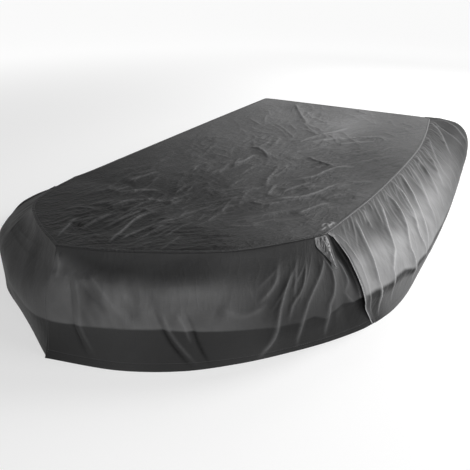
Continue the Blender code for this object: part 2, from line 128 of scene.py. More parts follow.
def bell(distance, wide):
    """1 at no distance, easing to 0 at a distance of wide."""
    return np.where(np.abs(distance) < wide, 0.5 * (1.0 + np.cos(np.pi * distance / wide)), 0.0)


def between(ends, share):
    return ends[0] + (ends[1] - ends[0]) * share


def spline(points, knots, corners, at):
    """Cubic curve through points at knots, with sharp turns at the knots listed in corners."""
    chord = np.diff(points, axis=0) / np.diff(knots)[:, None]
    through = (points[2:] - points[:-2]) / (knots[2:] - knots[:-2])[:, None]
    start, end = chord.copy(), chord.copy()
    start[1:], end[:-1] = through, through
    for corner in corners:
        start[corner], end[corner - 1] = chord[corner], chord[corner - 1]
    i = np.clip(np.searchsorted(knots, at) - 1, 0, len(knots) - 2)
    span = (knots[i + 1] - knots[i])[:, None]
    k = (at - knots[i])[:, None] / span
    return (
        points[i] * (2 * k**3 - 3 * k**2 + 1)
        + start[i] * span * (k**3 - 2 * k**2 + k)
        + points[i + 1] * (3 * k**2 - 2 * k**3)
        + end[i] * span * (k**3 - k**2)
    )


class Noise:
    """Smooth noise in the plane, from -1 to 1, with cells of size 1."""

    def __init__(self, seed):
        turn = np.random.RandomState(seed).rand(64, 64) * 2 * np.pi
        self.gradient = np.stack([np.cos(turn), np.sin(turn)], -1)

    def __call__(self, x, y):
        i, j = np.floor(x).astype(int), np.floor(y).astype(int)
        fx, fy = x - i, y - j
        sx, sy = (f**3 * (f * (f * 6 - 15) + 10) for f in (fx, fy))

        def corner(di, dj):
            g = self.gradient[(i + di) % 64, (j + dj) % 64]
            return g[..., 0] * (fx - di) + g[..., 1] * (fy - dj)

        low = corner(0, 0) * (1 - sx) + corner(1, 0) * sx
        high = corner(0, 1) * (1 - sx) + corner(1, 1) * sx
        return 1.6 * (low * (1 - sy) + high * sy)


# --- The cover's lines as curves of the girth ---


def girth_knots():
    knots = [0.0]
    for a, b in zip(SECTIONS, SECTIONS[1:]):
        knots.append(knots[-1] + math.hypot(b.belly_x - a.belly_x, b.belly_y - a.belly_y))
    return knots


HALF_KNOTS = girth_knots()
HALF_GIRTH = HALF_KNOTS[-1]
GIRTH_OF = {s.name: k for s, k in zip(SECTIONS, HALF_KNOTS)}
KNOTS = np.array([-HALF_KNOTS[1], *HALF_KNOTS, 2 * HALF_GIRTH - HALF_KNOTS[-2]])
TIP_KNOT = 1
SHOULDER_KNOT = 1 + [s.name for s in SECTIONS].index("shoulder")


def line_of(x_name, y_name, mirror=-1.0):
    """One column pair of SECTIONS as points, with a mirrored one more at each end."""
    points = np.array([(getattr(s, x_name), getattr(s, y_name)) for s in SECTIONS])
    first, last = points[1] * (mirror, 1.0), points[-2] * (mirror, 1.0)
    return np.vstack([first, points, last])


SEAM_LINE = line_of("seam_x", "seam_y")
BELLY_LINE = line_of("belly_x", "belly_y")
HEM_LINE = line_of("hem_x", "hem_y")
DRAPE_LINE = line_of("steep", "full", 1.0)


def seam_height(y):
    climb = (RISE_START_Y - y) / (RISE_START_Y - BOW_TIP_Y)
    eased = 0.5 * (climb + np.sqrt(climb**2 + RISE_EASE**2))
    return TOP_HEIGHT + (BOW_TOP_HEIGHT - TOP_HEIGHT) * eased**RISE_POWER


def belly_height(y):
    share = smooth(-y, -BELLY_RISE_START_Y, -BELLY_RISE_END_Y)
    return BELLY_HEIGHT + (BOW_BELLY_HEIGHT - BELLY_HEIGHT) * share


def unwrap(girth):
    """Side (1 port, -1 starboard) and distance from the bow tip; girths past the stern come round."""
    signed = (girth + HALF_GIRTH) % (2 * HALF_GIRTH) - HALF_GIRTH
    return np.where(signed >= 0, 1.0, -1.0), np.abs(signed)


def pulled(pull, x):
    return pull.far * bell(x - pull.x, pull.reach)


def seam_points(girth):
    side, along = unwrap(girth)
    x, y = spline(SEAM_LINE, KNOTS, (TIP_KNOT, SHOULDER_KNOT), along).T
    far = side < 0
    y = np.where(far, y - pulled(SEAM_PULL, x) * smooth(RISE_START_Y - y, 0.0, SEAM_PULL_EASE), y)
    drawn_in = np.minimum(x, FAR_SEAM_X + FAR_SEAM_GIVE * np.maximum(0.0, x - FAR_SEAM_X))
    x = np.where(far, drawn_in, x)
    return np.stack([side * x, y, seam_height(y)], -1)


def belly_points(girth):
    side, along = unwrap(girth)
    x, y = spline(BELLY_LINE, KNOTS, (), along).T
    y = np.where((side < 0) & (y < 0), y + pulled(BELLY_PULL, x), y)
    return np.stack([side * x, y, belly_height(y)], -1)


def hem_points(girth):
    side, along = unwrap(girth)
    x, y = spline(HEM_LINE, KNOTS, (TIP_KNOT,), along).T
    y = np.where((side < 0) & (y < 0), y + pulled(HEM_PULL, x), y)
    return np.stack([side * x, y, np.zeros_like(x)], -1)


def drape(girth):
    """How steep and how full the skirt is at a girth."""
    side, along = unwrap(girth)
    steep, full = spline(DRAPE_LINE, KNOTS, (), along).T
    share = smooth(along, 0.0, FAR_DRAPE_EASE) * (1.0 - smooth(along, GIRTH_OF["corner"], HALF_GIRTH))
    share = np.where(side < 0, share, 0.0)
    steep = steep + (np.maximum(steep, FAR_LEAST_STEEP) - steep) * share
    return steep, full * (1.0 - (1.0 - FAR_FULL_SHARE) * share)


def bezier(points, k):
    points = list(points)
    while len(points) > 1:
        points = [a + (b - a) * k for a, b in zip(points, points[1:])]
    return points[0]


# The curve from seam to widest line leaves the seam by these shares of its run and drop. Each is
# (for a drape that is not steep, for one that is wholly steep).
LEAVE_RUN = (0.32, 0.08)
LEAVE_DROP = (0.22, 0.50)
ARRIVE_RUN = 0.03
TUCK_UNDER = 0.55  # height at which the cloth turns in under the widest line, as a share of its height


def skirt_base(girth, fall):
    """The smooth skirt without its folds, for arrays of girth and fall of one shape."""
    shape = girth.shape
    girth, fall = girth.ravel(), fall.ravel()
    seam, belly, hem = seam_points(girth), belly_points(girth), hem_points(girth)
    seam[:, 2] -= LAYER
    run = (belly - seam) * (1, 1, 0)
    drop = (seam - belly) * (0, 0, 1)
    steep, full = (value[:, None] for value in drape(girth))
    leaving = seam + run * between(LEAVE_RUN, steep) - drop * between(LEAVE_DROP, steep)
    arriving = belly + drop * full - run * ARRIVE_RUN
    upper = bezier((seam, leaving, arriving, belly), (fall / BELLY_FALL)[:, None])
    below = belly * (1, 1, TUCK_UNDER)
    lower = bezier((belly, below, hem), ((fall - BELLY_FALL) / (1.0 - BELLY_FALL))[:, None])
    return np.where((fall <= BELLY_FALL)[:, None], upper, lower).reshape(*shape, 3)


def unit(vectors):
    return vectors / np.linalg.norm(vectors, axis=-1, keepdims=True)


def outward(girth, fall):
    step = 0.012
    low, high = np.maximum(fall - step, 0.0), np.minimum(fall + step, 1.0)
    down = skirt_base(girth, high) - skirt_base(girth, low)
    around = skirt_base(girth + step, fall) - skirt_base(girth - step, fall)
    return unit(np.cross(around, -down))


# --- Ridges ---
# A ridge is a crease or fold that runs through places in the cloth's own two coordinates. "wide" is
# how far its slopes reach and "height" how far it stands up; a height below 0 is a furrow.

Ridge = namedtuple("Ridge", "path wide height")
RIDGE_POINTS = 12  # a ridge's path is followed through this many points
RIDGE_REACH = 5.0  # past this many of its widths a ridge lifts nothing
STEEP_SIDE = 0.55  # one slope is steeper: it takes up this share of the width
SHARP_SHARE, SHARP_SLOPE, SHARP_ROUNDING = 0.6, 1.9, 0.25
BROAD_SHARE, BROAD_WIDE = 0.4, 2.4
RIDGE_RISE, RIDGE_DECLINE = (0.0, 0.22), (0.72, 1.0)  # shares of the path
LINE_SHARE, LINE_WIDE = 0.22, 0.0018  # width of a crest line: a share of the ridge's, and a bit more
LINE_CUT = 0.02  # fainter lines are left out
NARROW = 0.018  # a crest wider than this starts to lose its line, and at twice this has none
CLEAR_HEIGHT = 0.012  # from this height on, a crest shows its whole line of painted highlight and wear
FURROW_SHADE = 0.08  # how dark the painted shade along the bottom of a furrow is


def curve_through(path, steps):
    path = np.array(path, dtype=float)
    lengths = np.hypot(*np.diff(path, axis=0).T)
    knots = np.concatenate([[0.0], np.cumsum(lengths)])
    if len(path) == 2:
        return between(path, np.linspace(0, 1, steps)[:, None])
    return spline(
        np.vstack([2 * path[0] - path[1], path, 2 * path[-1] - path[-2]]),
        np.concatenate([[-lengths[0]], knots, [knots[-1] + lengths[-1]]]),
        (),
        np.linspace(1e-6, knots[-1] - 1e-6, steps),
    )


def off_curve(curve, a, b):
    """Distance of places from a curve, how far along it they are, and on which side (1 or -1)."""
    best, along, side = np.full(a.shape, 9.0), np.zeros_like(a), np.zeros_like(a)
    for i, (start, end) in enumerate(zip(curve, curve[1:])):
        step = end - start
        k = np.clip(((a - start[0]) * step[0] + (b - start[1]) * step[1]) / (step @ step), 0, 1)
        off_u, off_v = a - start[0] - k * step[0], b - start[1] - k * step[1]
        distance = np.hypot(off_u, off_v)
        closer = distance < best
        best = np.where(closer, distance, best)
        along = np.where(closer, (i + k) / (len(curve) - 1), along)
        side = np.where(closer, np.sign(step[0] * off_v - step[1] * off_u), side)
    return best, along, side


def ridge_fields(ridges, u, v):
    """Lift and fine crest line of a table of ridges at the places u, v: painted highlight and wear on crests
    (0 to 1), painted shade along furrows (below 0).
    """
    lift, line = np.zeros_like(u), np.zeros_like(u)
    for ridge in ridges:
        curve = curve_through(ridge.path, RIDGE_POINTS)
        reach = RIDGE_REACH * ridge.wide
        low, high = curve.min(0) - reach, curve.max(0) + reach
        near = (u > low[0]) & (u < high[0]) & (v > low[1]) & (v < high[1])
        if not near.any():
            continue
        best, along, side = off_curve(curve, u[near], v[near])
        scaled = SHARP_SLOPE * best / (ridge.wide * np.where(side < 0, STEEP_SIDE, 1.0))
        sharp = np.exp(SHARP_ROUNDING - np.hypot(scaled, SHARP_ROUNDING))
        broad = np.exp(-((best / (BROAD_WIDE * ridge.wide)) ** 2))
        taper = plateau(along, RIDGE_RISE, RIDGE_DECLINE)
        lift[near] += ridge.height * taper * (SHARP_SHARE * sharp + BROAD_SHARE * broad)
        thin = np.exp(-((best / (LINE_SHARE * ridge.wide + LINE_WIDE)) ** 2)) * taper
        if ridge.height < 0:
            line[near] += FURROW_SHADE * thin * max(ridge.height / CLEAR_HEIGHT, -1.0)
        else:
            narrow = np.clip(2.0 - ridge.wide / NARROW, 0.0, 1.0)
            thin = thin * narrow * min(ridge.height / CLEAR_HEIGHT, 1.0)
            line[near] = np.where(thin > LINE_CUT, np.maximum(line[near], thin), line[near])
    return lift, line


def down_skirt(ridges):
    """The same ridges with fall turned into metres down the skirt."""
    return [
        Ridge([(girth, fall * DROP) for girth, fall in ridge.path], ridge.wide, ridge.height)
        for ridge in ridges
    ]


def ridge_table(text):
    """Ridges from lines that give a width, a height and the two coordinates of each place."""
    ridges = []
    for line in text.strip().splitlines():
        wide, height, *path = (float(cell) for cell in line.split())
        ridges.append(Ridge(list(zip(path[::2], path[1::2])), wide, height))
    return tuple(ridges)


# Each line: the width, the height, and then girth and fall of each place. Starboard girths are negative.
SIDE_RIDGES = ridge_table("""
    .01 .004  1.175 .02  1.205 .14  1.182 .33  1.142 .5  1.118 .69  1.14 .95
    .018 .016  1.4 .02  1.379 .06  1.31 .23  1.247 .4  1.194 .55  1.173 .98
    .018 .016  1.66 -.05  1.585 .15  1.484 .3  1.416 .43  1.31 .57  1.284 .95
    .016 .005  1.48 .03  1.44 .14  1.42 .24
    .018 .016  1.74 -.05  1.706 .19  1.632 .33  1.505 .51  1.484 .71  1.5 1
    .018 .014  1.88 -.05  1.833 .18  1.743 .35  1.627 .49  1.62 .85
    .018 .013  2.03 -.05  1.912 .23  1.775 .425  1.653 .62  1.62 .75
    .024 .009  2.2 -.05  2.09 .22  1.93 .42  1.82 .66
    .022 .009  2.4 -.05  2.298 .14  2.208 .3  2.05 .5
    .022 .008  2.6 -.03  2.5 .15  2.36 .3  2.2 .48
    .026 .01  2.9 -.05  2.63 .15  2.467 .29  2.3 .45
    .05 .009  3.1 -.05  2.8 .16  2.7 .32  2.519 .43  2.229 .53  1.95 .62
    .02 .01  3.22 -.05  2.984 .18  2.805 .325  2.7 .45
    .024 .01  3.24 -.04  3.06 .23  3.016 .43  3 .6
    .022 .011  3.3 .03  3.206 .317  3.132 .49  3.12 .7
    .03 -.008  3.14 .02  3.106 .21  3.079 .4
""")

BOW_RIDGES = ridge_table("""
    .024 .013  .93 -.02  .951 .18  .985 .34  .961 .5  .93 .6  .915 .98
    .022 .011  .99 .12  .94 .287  .903 .375  .861 .483  .835 .6  .8 1
    .02 .005  1.105 .2  1.08 .34  1.068 .43  1.025 .51  1.05 .62  1.07 .7
    .018 .008  .845 .18  .829 .38  .814 .454  .787 .53  .78 .68
    .018 .005  .775 .12  .787 .333  .787 .5
    .022 .013  .77 .22  .755 .404  .745 .517  .74 .7  .713 .84  .65 1.02
    .022 .008  .706 .12  .713 .33  .697 .417  .66 .5
    .026 .008  .55 .5  .623 .562  .671 .533  .7 .47
    .022 .005  .004 .02  .012 .1  .021 .19  .03 .34
    .022 -.007  .065 .22  .106 .52  .111 .73  .15 1
    .016 .004  .09 .24  .128 .5  .135 .73  .17 .95
    .028 .007  .13 .2  .206 .417  .275 .6
    .024 -.005  .1 .3  .17 .45  .24 .58
    .022 -.008  .36 .48  .391 .65  .412 .79  .46 1
    .016 .005  .385 .5  .41 .66  .435 .79  .48 .98
    .022 -.008  .45 .48  .481 .646  .497 .825  .515 1
    .014 .004  .43 .52  .46 .66  .475 .8
    .045 .007  0 .27  .19 .31  .322 .335  .444 .33  .6 .27
    .035 .003  -.75 .36  -.5 .28  -.25 .17  -.1 .1
    .035 .0025  -.8 .46  -.6 .4  -.3 .3  -.12 .24
""")

# Each line: the width, the height, and then x and y of each place.
TOP_RIDGES = ridge_table("""
    .011 .0072  -.275 -1.075  -.261 -1.004  -.193 -.974
    .013 .008  -.037 -1.321  -.1 -1.23  -.182 -1.08
    .02 -.011  -.064 -1.252  -.087 -1.196  -.125 -1.132
    .013 .008  .1 -1.243  .058 -1.136  -.022 -.925  -.005 -.8
    .012 .0062  .099 -1.198  .084 -1.054  .09 -.911  .103 -.78
    .013 .008  -.182 -.94  -.176 -.766  -.068 -.705  -.02 -.65
    .016 .0096  -.31 -.74  -.221 -.637  -.165 -.6
    .016 .008  -.375 -.62  -.35 -.5  -.33 -.4
    .018 .008  -.56 -.18  -.59 -.052  -.6 .09
    .026 .0128  -.35 1.264  -.198 1.018  -.03 .76
    .02 .0128  .05 .34  .099 .468  .183 .677  .235 .89
    .018 .0128  .07 .315  .256 .539  .434 .684  .55 .715
    .016 .0096  .27 .43  .36 .53  .46 .62
    .018 .0128  -.15 .175  -.059 .156  .05 .04
    .018 .0112  -.047 .08  -.05 -.072  -.08 -.18
    .016 .0112  .19 .185  .3 .12  .355 .093  .43 .096
    .018 .0128  .27 -.21  .359 -.116  .399 .025  .485 .16
    .018 .0128  .3 -.47  .418 -.365  .465 -.267  .505 -.125
    .014 .008  .3 -.36  .34 -.26  .38 -.165
    .016 .0096  .46 -.56  .496 -.453  .54 -.36
    .014 .0064  .23 -.51  .27 -.52  .31 -.522
    .014 .008  .275 -.43  .253 -.338  .236 -.265
""")

# Short crumples of the top where the surplus cloth of the near shoulder is caught in the seam.
SHOULDER_RUCKS = ridge_table("""
    .006 .005  .596 -.652  .606 -.618  .618 -.574  .626 -.53
    .0055 .004  .6 -.606  .592 -.586  .598 -.556
    .0055 .005  .602 -.56  .616 -.588  .63 -.604
    .005 .004  .604 -.532  .618 -.552  .634 -.562
""")
RUCK_LINE = 2.6  # the rucks get far paler painted highlights and wear than their height alone would give


Patch = namedtuple("Patch", "seed count corner size turns lengths wide height")
# Patches of the top's small ridges. Angles are in degrees from the X axis.
TOP_PATCHES = (
    Patch(3, 60, (0.10, -0.75), (0.50, 1.55), (44, 70), (0.12, 0.40), 0.008, 0.0048),
    Patch(4, 60, (-0.50, -1.05), (0.72, 1.00), (72, 108), (0.10, 0.34), 0.008, 0.0046),
    Patch(5, 26, (-0.45, -0.10), (0.80, 0.70), (-40, 30), (0.06, 0.18), 0.009, 0.0034),
    Patch(6, 40, (-0.60, 0.40), (1.20, 0.85), (95, 150), (0.12, 0.40), 0.012, 0.0044),
    Patch(7, 28, (-0.14, -1.26), (0.40, 0.60), (88, 110), (0.12, 0.34), 0.007, 0.0044),
    Patch(8, 18, (-0.36, -1.10), (0.30, 0.40), (60, 100), (0.06, 0.20), 0.008, 0.0040),
)

# Folds that hang from the seam, between two girths. "longest" is the fall that the longest reaches.
Folds = namedtuple("Folds", "place seed start end count lean wide height longest")
FOLDS = (
    Folds("near_side", 11, 1.18, 2.35, 30, -0.50, 0.009, 0.0030, 0.30),
    Folds("near_side", 12, 2.30, 3.20, 22, -0.75, 0.011, 0.0034, 0.42),
    Folds("near_side", 13, 1.75, 2.95, 26, -0.42, 0.011, 0.0032, 0.85),
    Folds("far_side", 14, -1.20, -3.20, 17, 0.45, 0.022, 0.0120, 0.75),
    Folds("far_side", 15, -1.15, -3.25, 42, 0.50, 0.010, 0.0036, 0.45),
    Folds("stern", 16, 3.45, 2 * HALF_GIRTH - 3.45, 9, -0.10, 0.024, 0.0100, 0.75),
    Folds("stern", 17, 3.40, 2 * HALF_GIRTH - 3.40, 26, 0.08, 0.011, 0.0034, 0.55),
    Folds("bow", 18, 0.74, 1.00, 6, -0.22, 0.010, 0.0030, 0.60),
    Folds("far_bow", 19, -1.10, -0.60, 6, 0.30, 0.016, 0.0040, 0.60),
)

WIDE_SPREAD = (0.7, 1.3)  # seeded ridges vary between these shares of the width in their table
SCATTER_BOW = 0.12  # how widely the middles of scattered ridges stray, as a share of their length
SCATTER_HEIGHTS = (0.45, 1.20)
FOLD_START = -0.05  # the fall at which a hanging fold starts
FOLD_STRAY = 0.7  # how widely folds stray about their even places, in steps between two folds
FOLD_LENGTHS = (0.35, 1.0)
FOLD_LEANS = (0.6, 1.4)
FOLD_MIDDLES = (0.35, 0.65)
FOLD_HEIGHTS = (0.4, 1.3)


def scattered(patch):
    """Seeded ridges over a rectangle. Each lies at an angle between the patch's turns, in degrees."""
    pick = np.random.RandomState(patch.seed)
    ridges = []
    for _ in range(patch.count):
        middle = np.array([start + size * pick.rand() for start, size in zip(patch.corner, patch.size)])
        turn = math.radians(between(patch.turns, pick.rand()))
        long = between(patch.lengths, pick.rand() ** 2)
        bow = SCATTER_BOW * (pick.rand() - 0.5)
        half = np.array([math.cos(turn), math.sin(turn)]) * long / 2
        side = np.array([-half[1], half[0]]) * 2 * bow
        height = patch.height * between(SCATTER_HEIGHTS, pick.rand())
        wide = patch.wide * between(WIDE_SPREAD, pick.rand())
        ridges.append(Ridge((middle - half, middle + side, middle + half), wide, height))
    return ridges


def hanging(folds):
    """Seeded folds down the skirt between two girths, leaning over by "lean" of girth per fall."""
    pick = np.random.RandomState(folds.seed)
    ridges = []
    for i in range(folds.count):
        share = (i + FOLD_STRAY * (pick.rand() - 0.5) + 0.5) / folds.count
        girth = between((folds.start, folds.end), share)
        bottom = folds.longest * between(FOLD_LENGTHS, pick.rand())
        shift = folds.lean * between(FOLD_LEANS, pick.rand()) * bottom
        middle = girth + shift * between(FOLD_MIDDLES, pick.rand())
        wide = folds.wide * between(WIDE_SPREAD, pick.rand())
        height = folds.height * between(FOLD_HEIGHTS, pick.rand())
        path = ((girth, FOLD_START), (middle, bottom / 2), (girth + shift, bottom))
        ridges.append(Ridge(path, wide, height))
    return ridges


def folds_at(place):
    return tuple(ridge for folds in FOLDS if folds.place == place for ridge in hanging(folds))


def carried_round(ridge):
    """A starboard ridge at the girths by which the stern panel counts it, past the stern."""
    return Ridge([(girth + 2 * HALF_GIRTH, fall) for girth, fall in ridge.path], ridge.wide, ridge.height)


# --- Surfaces ---

# Lines down the skirt as (fall, girth): the side panel's free front edge, and where the hollow
# before that edge starts on the bow panel.
EDGE_LINE = (
    (0, 1.138), (0.05, 1.152), (0.11, 1.156), (0.18, 1.152), (0.28, 1.142), (0.38, 1.120), (0.48, 1.100),
    (0.60, 1.088), (0.75, 1.090), (0.87, 1.113), (1, 1.126),
)
GAP_LEFT = (
    (0, 1.13), (0.09, 1.11), (0.21, 1.06), (0.33, 1.01), (0.42, 0.98), (0.51, 0.96), (0.62, 0.95), (1, 0.97),
)
LINE_ROUNDING = 0.03  # a line's turns are rounded over this fall
GAP_DEEP = 0.016
GAP_LEAST = 0.012
FRONT_LAP = 0.15
LIP_STAND = 0.007


def at_fall(line, fall):
    """The girth of a line at a fall."""
    falls, girths = np.array(line).T
    near = [np.interp(fall + shift, falls, girths) for shift in (-LINE_ROUNDING, 0.0, LINE_ROUNDING)]
    return sum(near) / 3


def gap_share(girth, fall):
    """0 to 1 across the hollow between the bow's folds and the side panel's front edge."""
    left, right = at_fall(GAP_LEFT, fall), at_fall(EDGE_LINE, fall)
    across = (girth - left) / np.maximum(right - left, GAP_LEAST)
    return smooth(across, 0.0, 0.45) * (1.0 - 0.25 * smooth(across, 0.75, 1.2))


BROAD, MIDDLE, FINE, PATCHES = Noise(21), Noise(22), Noise(23), Noise(24)

# Crinkles of the skirt. The cells round the cover are a multiple of 64, after which the noise repeats.
Crinkles = namedtuple("Crinkles", "noise height cells_round fall_cell weak_at_bow")
SKIRT_CRINKLES = (
    Crinkles(BROAD, 0.0022, 64, 0.55, False),
    Crinkles(MIDDLE, 0.0012, 192, 0.40, True),
    Crinkles(FINE, 0.0006, 512, 0.30, True),
)
CRINKLE_LEAN = 0.35  # girth per fall
FAR_SINK = 0.012  # how far the hidden side hangs in
FAR_LOW = 0.4  # how much lower its folds are

# Spans of girth and of fall over which the cloth changes.
STERN_SPAN = (GIRTH_OF["corner"] - 0.10, HALF_GIRTH - 0.20)
FAR_SPAN = (GIRTH_OF["shoulder"] - 0.25, GIRTH_OF["shoulder"] + 0.10)
AFT_SPAN, AFT_FALL, AFT_CALM = (1.65, 2.05), (0.45, 0.64), 0.65
HEM_SPAN, HEM_CALM = (0.74, 0.98), 0.75
SEAM_EASE, FAR_SEAM_EASE = 0.06, 0.30
CRISP_SPAN, LEAST_CRISP = (0.95, 1.25), 0.15
CREST_LIGHT_SPAN, LEAST_CREST_LIGHT = (1.06, 1.11), 0.22  # the bow's crests get weaker painted highlights and wear than the side's
PALE_SPAN, PALE_LOSS = (1.9, 2.8), 0.5
FAN_RISE, FAN_DECLINE, FAN_FALL = (0.50, 0.62), (0.98, 1.06), (0.10, 0.36)


def crinkles(girth, fall, along):
    """Lift of the skirt's crinkles, which run across the folds and are weaker round the bow."""
    turn = np.where(girth < 0, -1.0, np.clip((HALF_GIRTH - girth) / 0.6, -1, 1))
    lean = (girth + CRINKLE_LEAN * fall * turn) / (2 * HALF_GIRTH)
    crisp = between((LEAST_CRISP, 1.0), smooth(along, *CRISP_SPAN))
    lift = 0.0
    for row in SKIRT_CRINKLES:
        height = row.height * (crisp if row.weak_at_bow else 1.0)
        lift = lift + height * row.noise(row.cells_round * lean, fall / row.fall_cell)
    return lift


def skirt_fields(girth, fall, ridges):
    """Lift of the folds and crinkles, and the fine crest lines, at places on the skirt."""
    side, along = unwrap(girth)
    signed = side * along
    lift, line = ridge_fields(down_skirt(ridges), girth, fall * DROP)
    not_stern = 1.0 - smooth(along, *STERN_SPAN)
    far = smooth(-signed, *FAR_SPAN) * not_stern
    lift = lift * (1.0 - FAR_LOW * far) + crinkles(girth, fall, along)
    line = np.where(line > 0, line * between((LEAST_CREST_LIGHT, 1.0), smooth(signed, *CREST_LIGHT_SPAN)), line)
    line = line * (1.0 - PALE_LOSS * smooth(signed, *PALE_SPAN))
    # The bow's fan of folds starts below the seam.
    young = 1.0 - plateau(signed, FAN_RISE, FAN_DECLINE) * (1.0 - smooth(fall, *FAN_FALL))
    calm = 1.0 - HEM_CALM * smooth(fall, *HEM_SPAN)
    calm = calm * (1.0 - AFT_CALM * smooth(signed, *AFT_SPAN) * not_stern * smooth(fall, *AFT_FALL))
    edge = smooth(fall, 0.0, SEAM_EASE + FAR_SEAM_EASE * far)
    sink = FAR_SINK * far * plateau(fall, (0.0, 0.3), (0.6, 0.9))
    return lift * young * calm * edge - sink, line * young


def skirt_surface(girth, fall, ridges, shift):
    lift, line = skirt_fields(girth, fall, ridges)
    points = skirt_base(girth, fall) + outward(girth, fall) * (lift + shift)[..., None]
    points[..., 2] = np.maximum(points[..., 2], HEM_HEIGHT)
    return points, line


# Where the lying cloth in painted light ends below and begins above, with the free cloth in painted shade
# under it, as (girth, fall); starboard girths are negative.
BAND_EDGE = (
    (-HALF_GIRTH, 0.70), (-1.2, 0.68), (-0.30, 0.70), (-0.05, 0.715), (0.09, 0.688), (0.227, 0.671),
    (0.386, 0.662), (0.50, 0.679), (0.61, 0.675), (0.824, 0.679), (0.872, 0.654), (0.915, 0.70),
    (0.94, 0.662), (1.004, 0.608), (1.06, 0.635), (1.10, 0.615), (1.16, 0.60), (1.22, 0.617),
    (1.273, 0.637), (1.326, 0.62), (1.41, 0.621), (1.468, 0.671), (1.60, 0.65), (2.0, 0.66),
    (HALF_GIRTH, 0.70),
)
TUBE_TOP = (
    (-HALF_GIRTH, 0.05), (-3.3, 0.12), (-0.30, 0.12), (0.0, 0.10), (0.07, 0.16), (0.20, 0.30), (0.45, 0.34),
    (0.65, 0.28), (0.90, 0.14), (1.10, 0.06), (HALF_GIRTH, 0.05),
)

# How light the lying cloth is in painted light, lightest on the near side that faces the lamps: rows by
# fall, columns by girth.
LEVEL_GIRTHS = (-4.2, -0.75, -0.1, 0.12, 0.45, 0.62, 0.80, 1.02, 1.10, 1.30, 1.75, 2.20, 2.80, 3.30, 4.2)
LEVELS = (
    (0.0, (0.25, 0.00, 0.14, 0.28, 0.36, 0.12, 0.04, 0.10, 0.38, 0.40, 0.40, 0.30, 0.10, 0.02, 0.25)),
    (0.2, (0.25, 0.00, 0.18, 0.36, 0.46, 0.14, 0.04, 0.14, 0.42, 0.44, 0.44, 0.36, 0.12, 0.02, 0.25)),
    (0.4, (0.25, 0.00, 0.22, 0.47, 0.52, 0.24, 0.06, 0.18, 1.10, 1.28, 1.28, 0.80, 0.26, 0.04, 0.25)),
    (0.6, (0.25, 0.00, 0.26, 0.38, 0.38, 0.24, 0.10, 0.18, 1.15, 1.25, 1.20, 0.52, 0.16, 0.04, 0.25)),
)
LYING_SHARE = 0.67  # leaves room for clouds lighter than the plain lying cloth

# Lighter and darker clouds of painted light and shade where the cloth touches or leaves what is under it.
CLOUDS = table("""
    girth fall long high amount
    1.19  .36  .05  .09  .3
    1.3   .33  .04  .08  .2
    1.39  .43  .06  .08  .3
    1.53  .42  .06  .07  .25
    2.28  .37  .15  .1   .2
    2.02  .41  .1   .08  .15
    1.33  .09  .06  .05  -.25
    1.39  .19  .06  .07  -.3
    1.46  .19  .05  .06  -.25
    1.54  .29  .035 .06  -.4
    1.64  .24  .05  .07  -.3
    1.74  .49  .04  .08  -.4
    1.93  .15  .08  .05  -.3
    3.14  .2   .06  .12  -.5
    2.98  .52  .2   .1   -.3
    0     .14  .05  .08  .6
    .05   .42  .08  .12  .35
    .17   .44  .04  .12  -.4
    .27   .45  .06  .1   .2
    .5    .37  .12  .06  .25
    .41   .62  .03  .05  -.35
    .5    .62  .03  .05  -.3
""")


# Mottling of the lying cloth, in cells of girth and fall.
Mottle = namedtuple("Mottle", "noise amount girth_cell fall_cell")
MOTTLES = (Mottle(PATCHES, 0.14, 0.10, 0.28), Mottle(BROAD, 0.10, 0.045, 0.12))
PROW_STREAKS = Mottle(FINE, 0.30, 0.030, 0.16)
PROW_GIRTH, PROW_REACH, PROW_LEAN = 0.22, 0.34, 0.12

BAND_SOFT, SIDE_BAND_SOFT, SIDE_BAND_SPAN = 0.010, 0.014, (1.05, 1.15)
TUBE_OVER, TUBE_UNDER = 0.14, 0.12  # the lit band fades in from over to under the tube's top line
# Painted shade in the hollow before the side panel's front edge, less of it low down.
HOLLOW_SHADE, HOLLOW_LOW_FALL, HOLLOW_LOW_LOSS = 0.9, (0.35, 0.60), 0.2

# Painted light on the cloth below the band that touches the tube again, along the near side.
TOUCHING = 0.36
TOUCH_RISE, TOUCH_DECLINE, TOUCH_FALL = (1.15, 1.27), (2.6, 3.2), (0.05, 0.15)
TOUCH_MOST, TOUCH_MOST_GIRTH, TOUCH_MOST_REACH = 0.35, 1.45, 0.18

# Painted light that the free cloth keeps, as (over the band's edge, under it). The bow's fan keeps least.
FREE = (0.12, 0.07)
FREE_FANS = (((0.56, 0.72), (0.92, 1.02)), ((0.64, 0.80), (1.08, 1.14)))
FREE_FAN_LOSS = 0.9
FREE_AFT_SPAN, FREE_AFT_LOSS = (2.5, 3.0), 0.9
FREE_FAR_SPAN, FREE_FAR_LOSS = (0.02, 0.20), 0.7
FREE_STERN = (0.024, 0.014)
FREE_STERN_SPAN = (3.3, HALF_GIRTH)
FREE_PROW, FREE_PROW_REACH = 0.06, 0.22
FREE_HOLLOW_LOSS = 0.6


def level_at(signed, fall):
    """LEVELS at places on the skirt: straight between its columns and eased between its rows."""
    level = np.interp(signed, LEVEL_GIRTHS, LEVELS[0][1])
    for (low, _), (high, values) in zip(LEVELS, LEVELS[1:]):
        level += (np.interp(signed, LEVEL_GIRTHS, values) - level) * smooth(fall, low, high)
    return level


def clouds(signed, fall):
    """How much lighter the lying cloth's painted light is than its level, as a share."""
    patch = sum(row.amount * row.noise(signed / row.girth_cell, fall / row.fall_cell) for row in MOTTLES)
    patch *= 1.0 - smooth(np.abs(signed), HALF_GIRTH - 0.40, HALF_GIRTH)  # both halves meet evenly
    streak = PROW_STREAKS.noise(
        (signed - PROW_LEAN * fall) / PROW_STREAKS.girth_cell, fall / PROW_STREAKS.fall_cell
    )
    patch += PROW_STREAKS.amount * bell(signed - PROW_GIRTH, PROW_REACH) * streak
    for cloud in CLOUDS:
        away = ((signed - cloud.girth) / cloud.long) ** 2 + ((fall - cloud.fall) / cloud.high) ** 2
        patch += cloud.amount * np.exp(-away)
    return patch


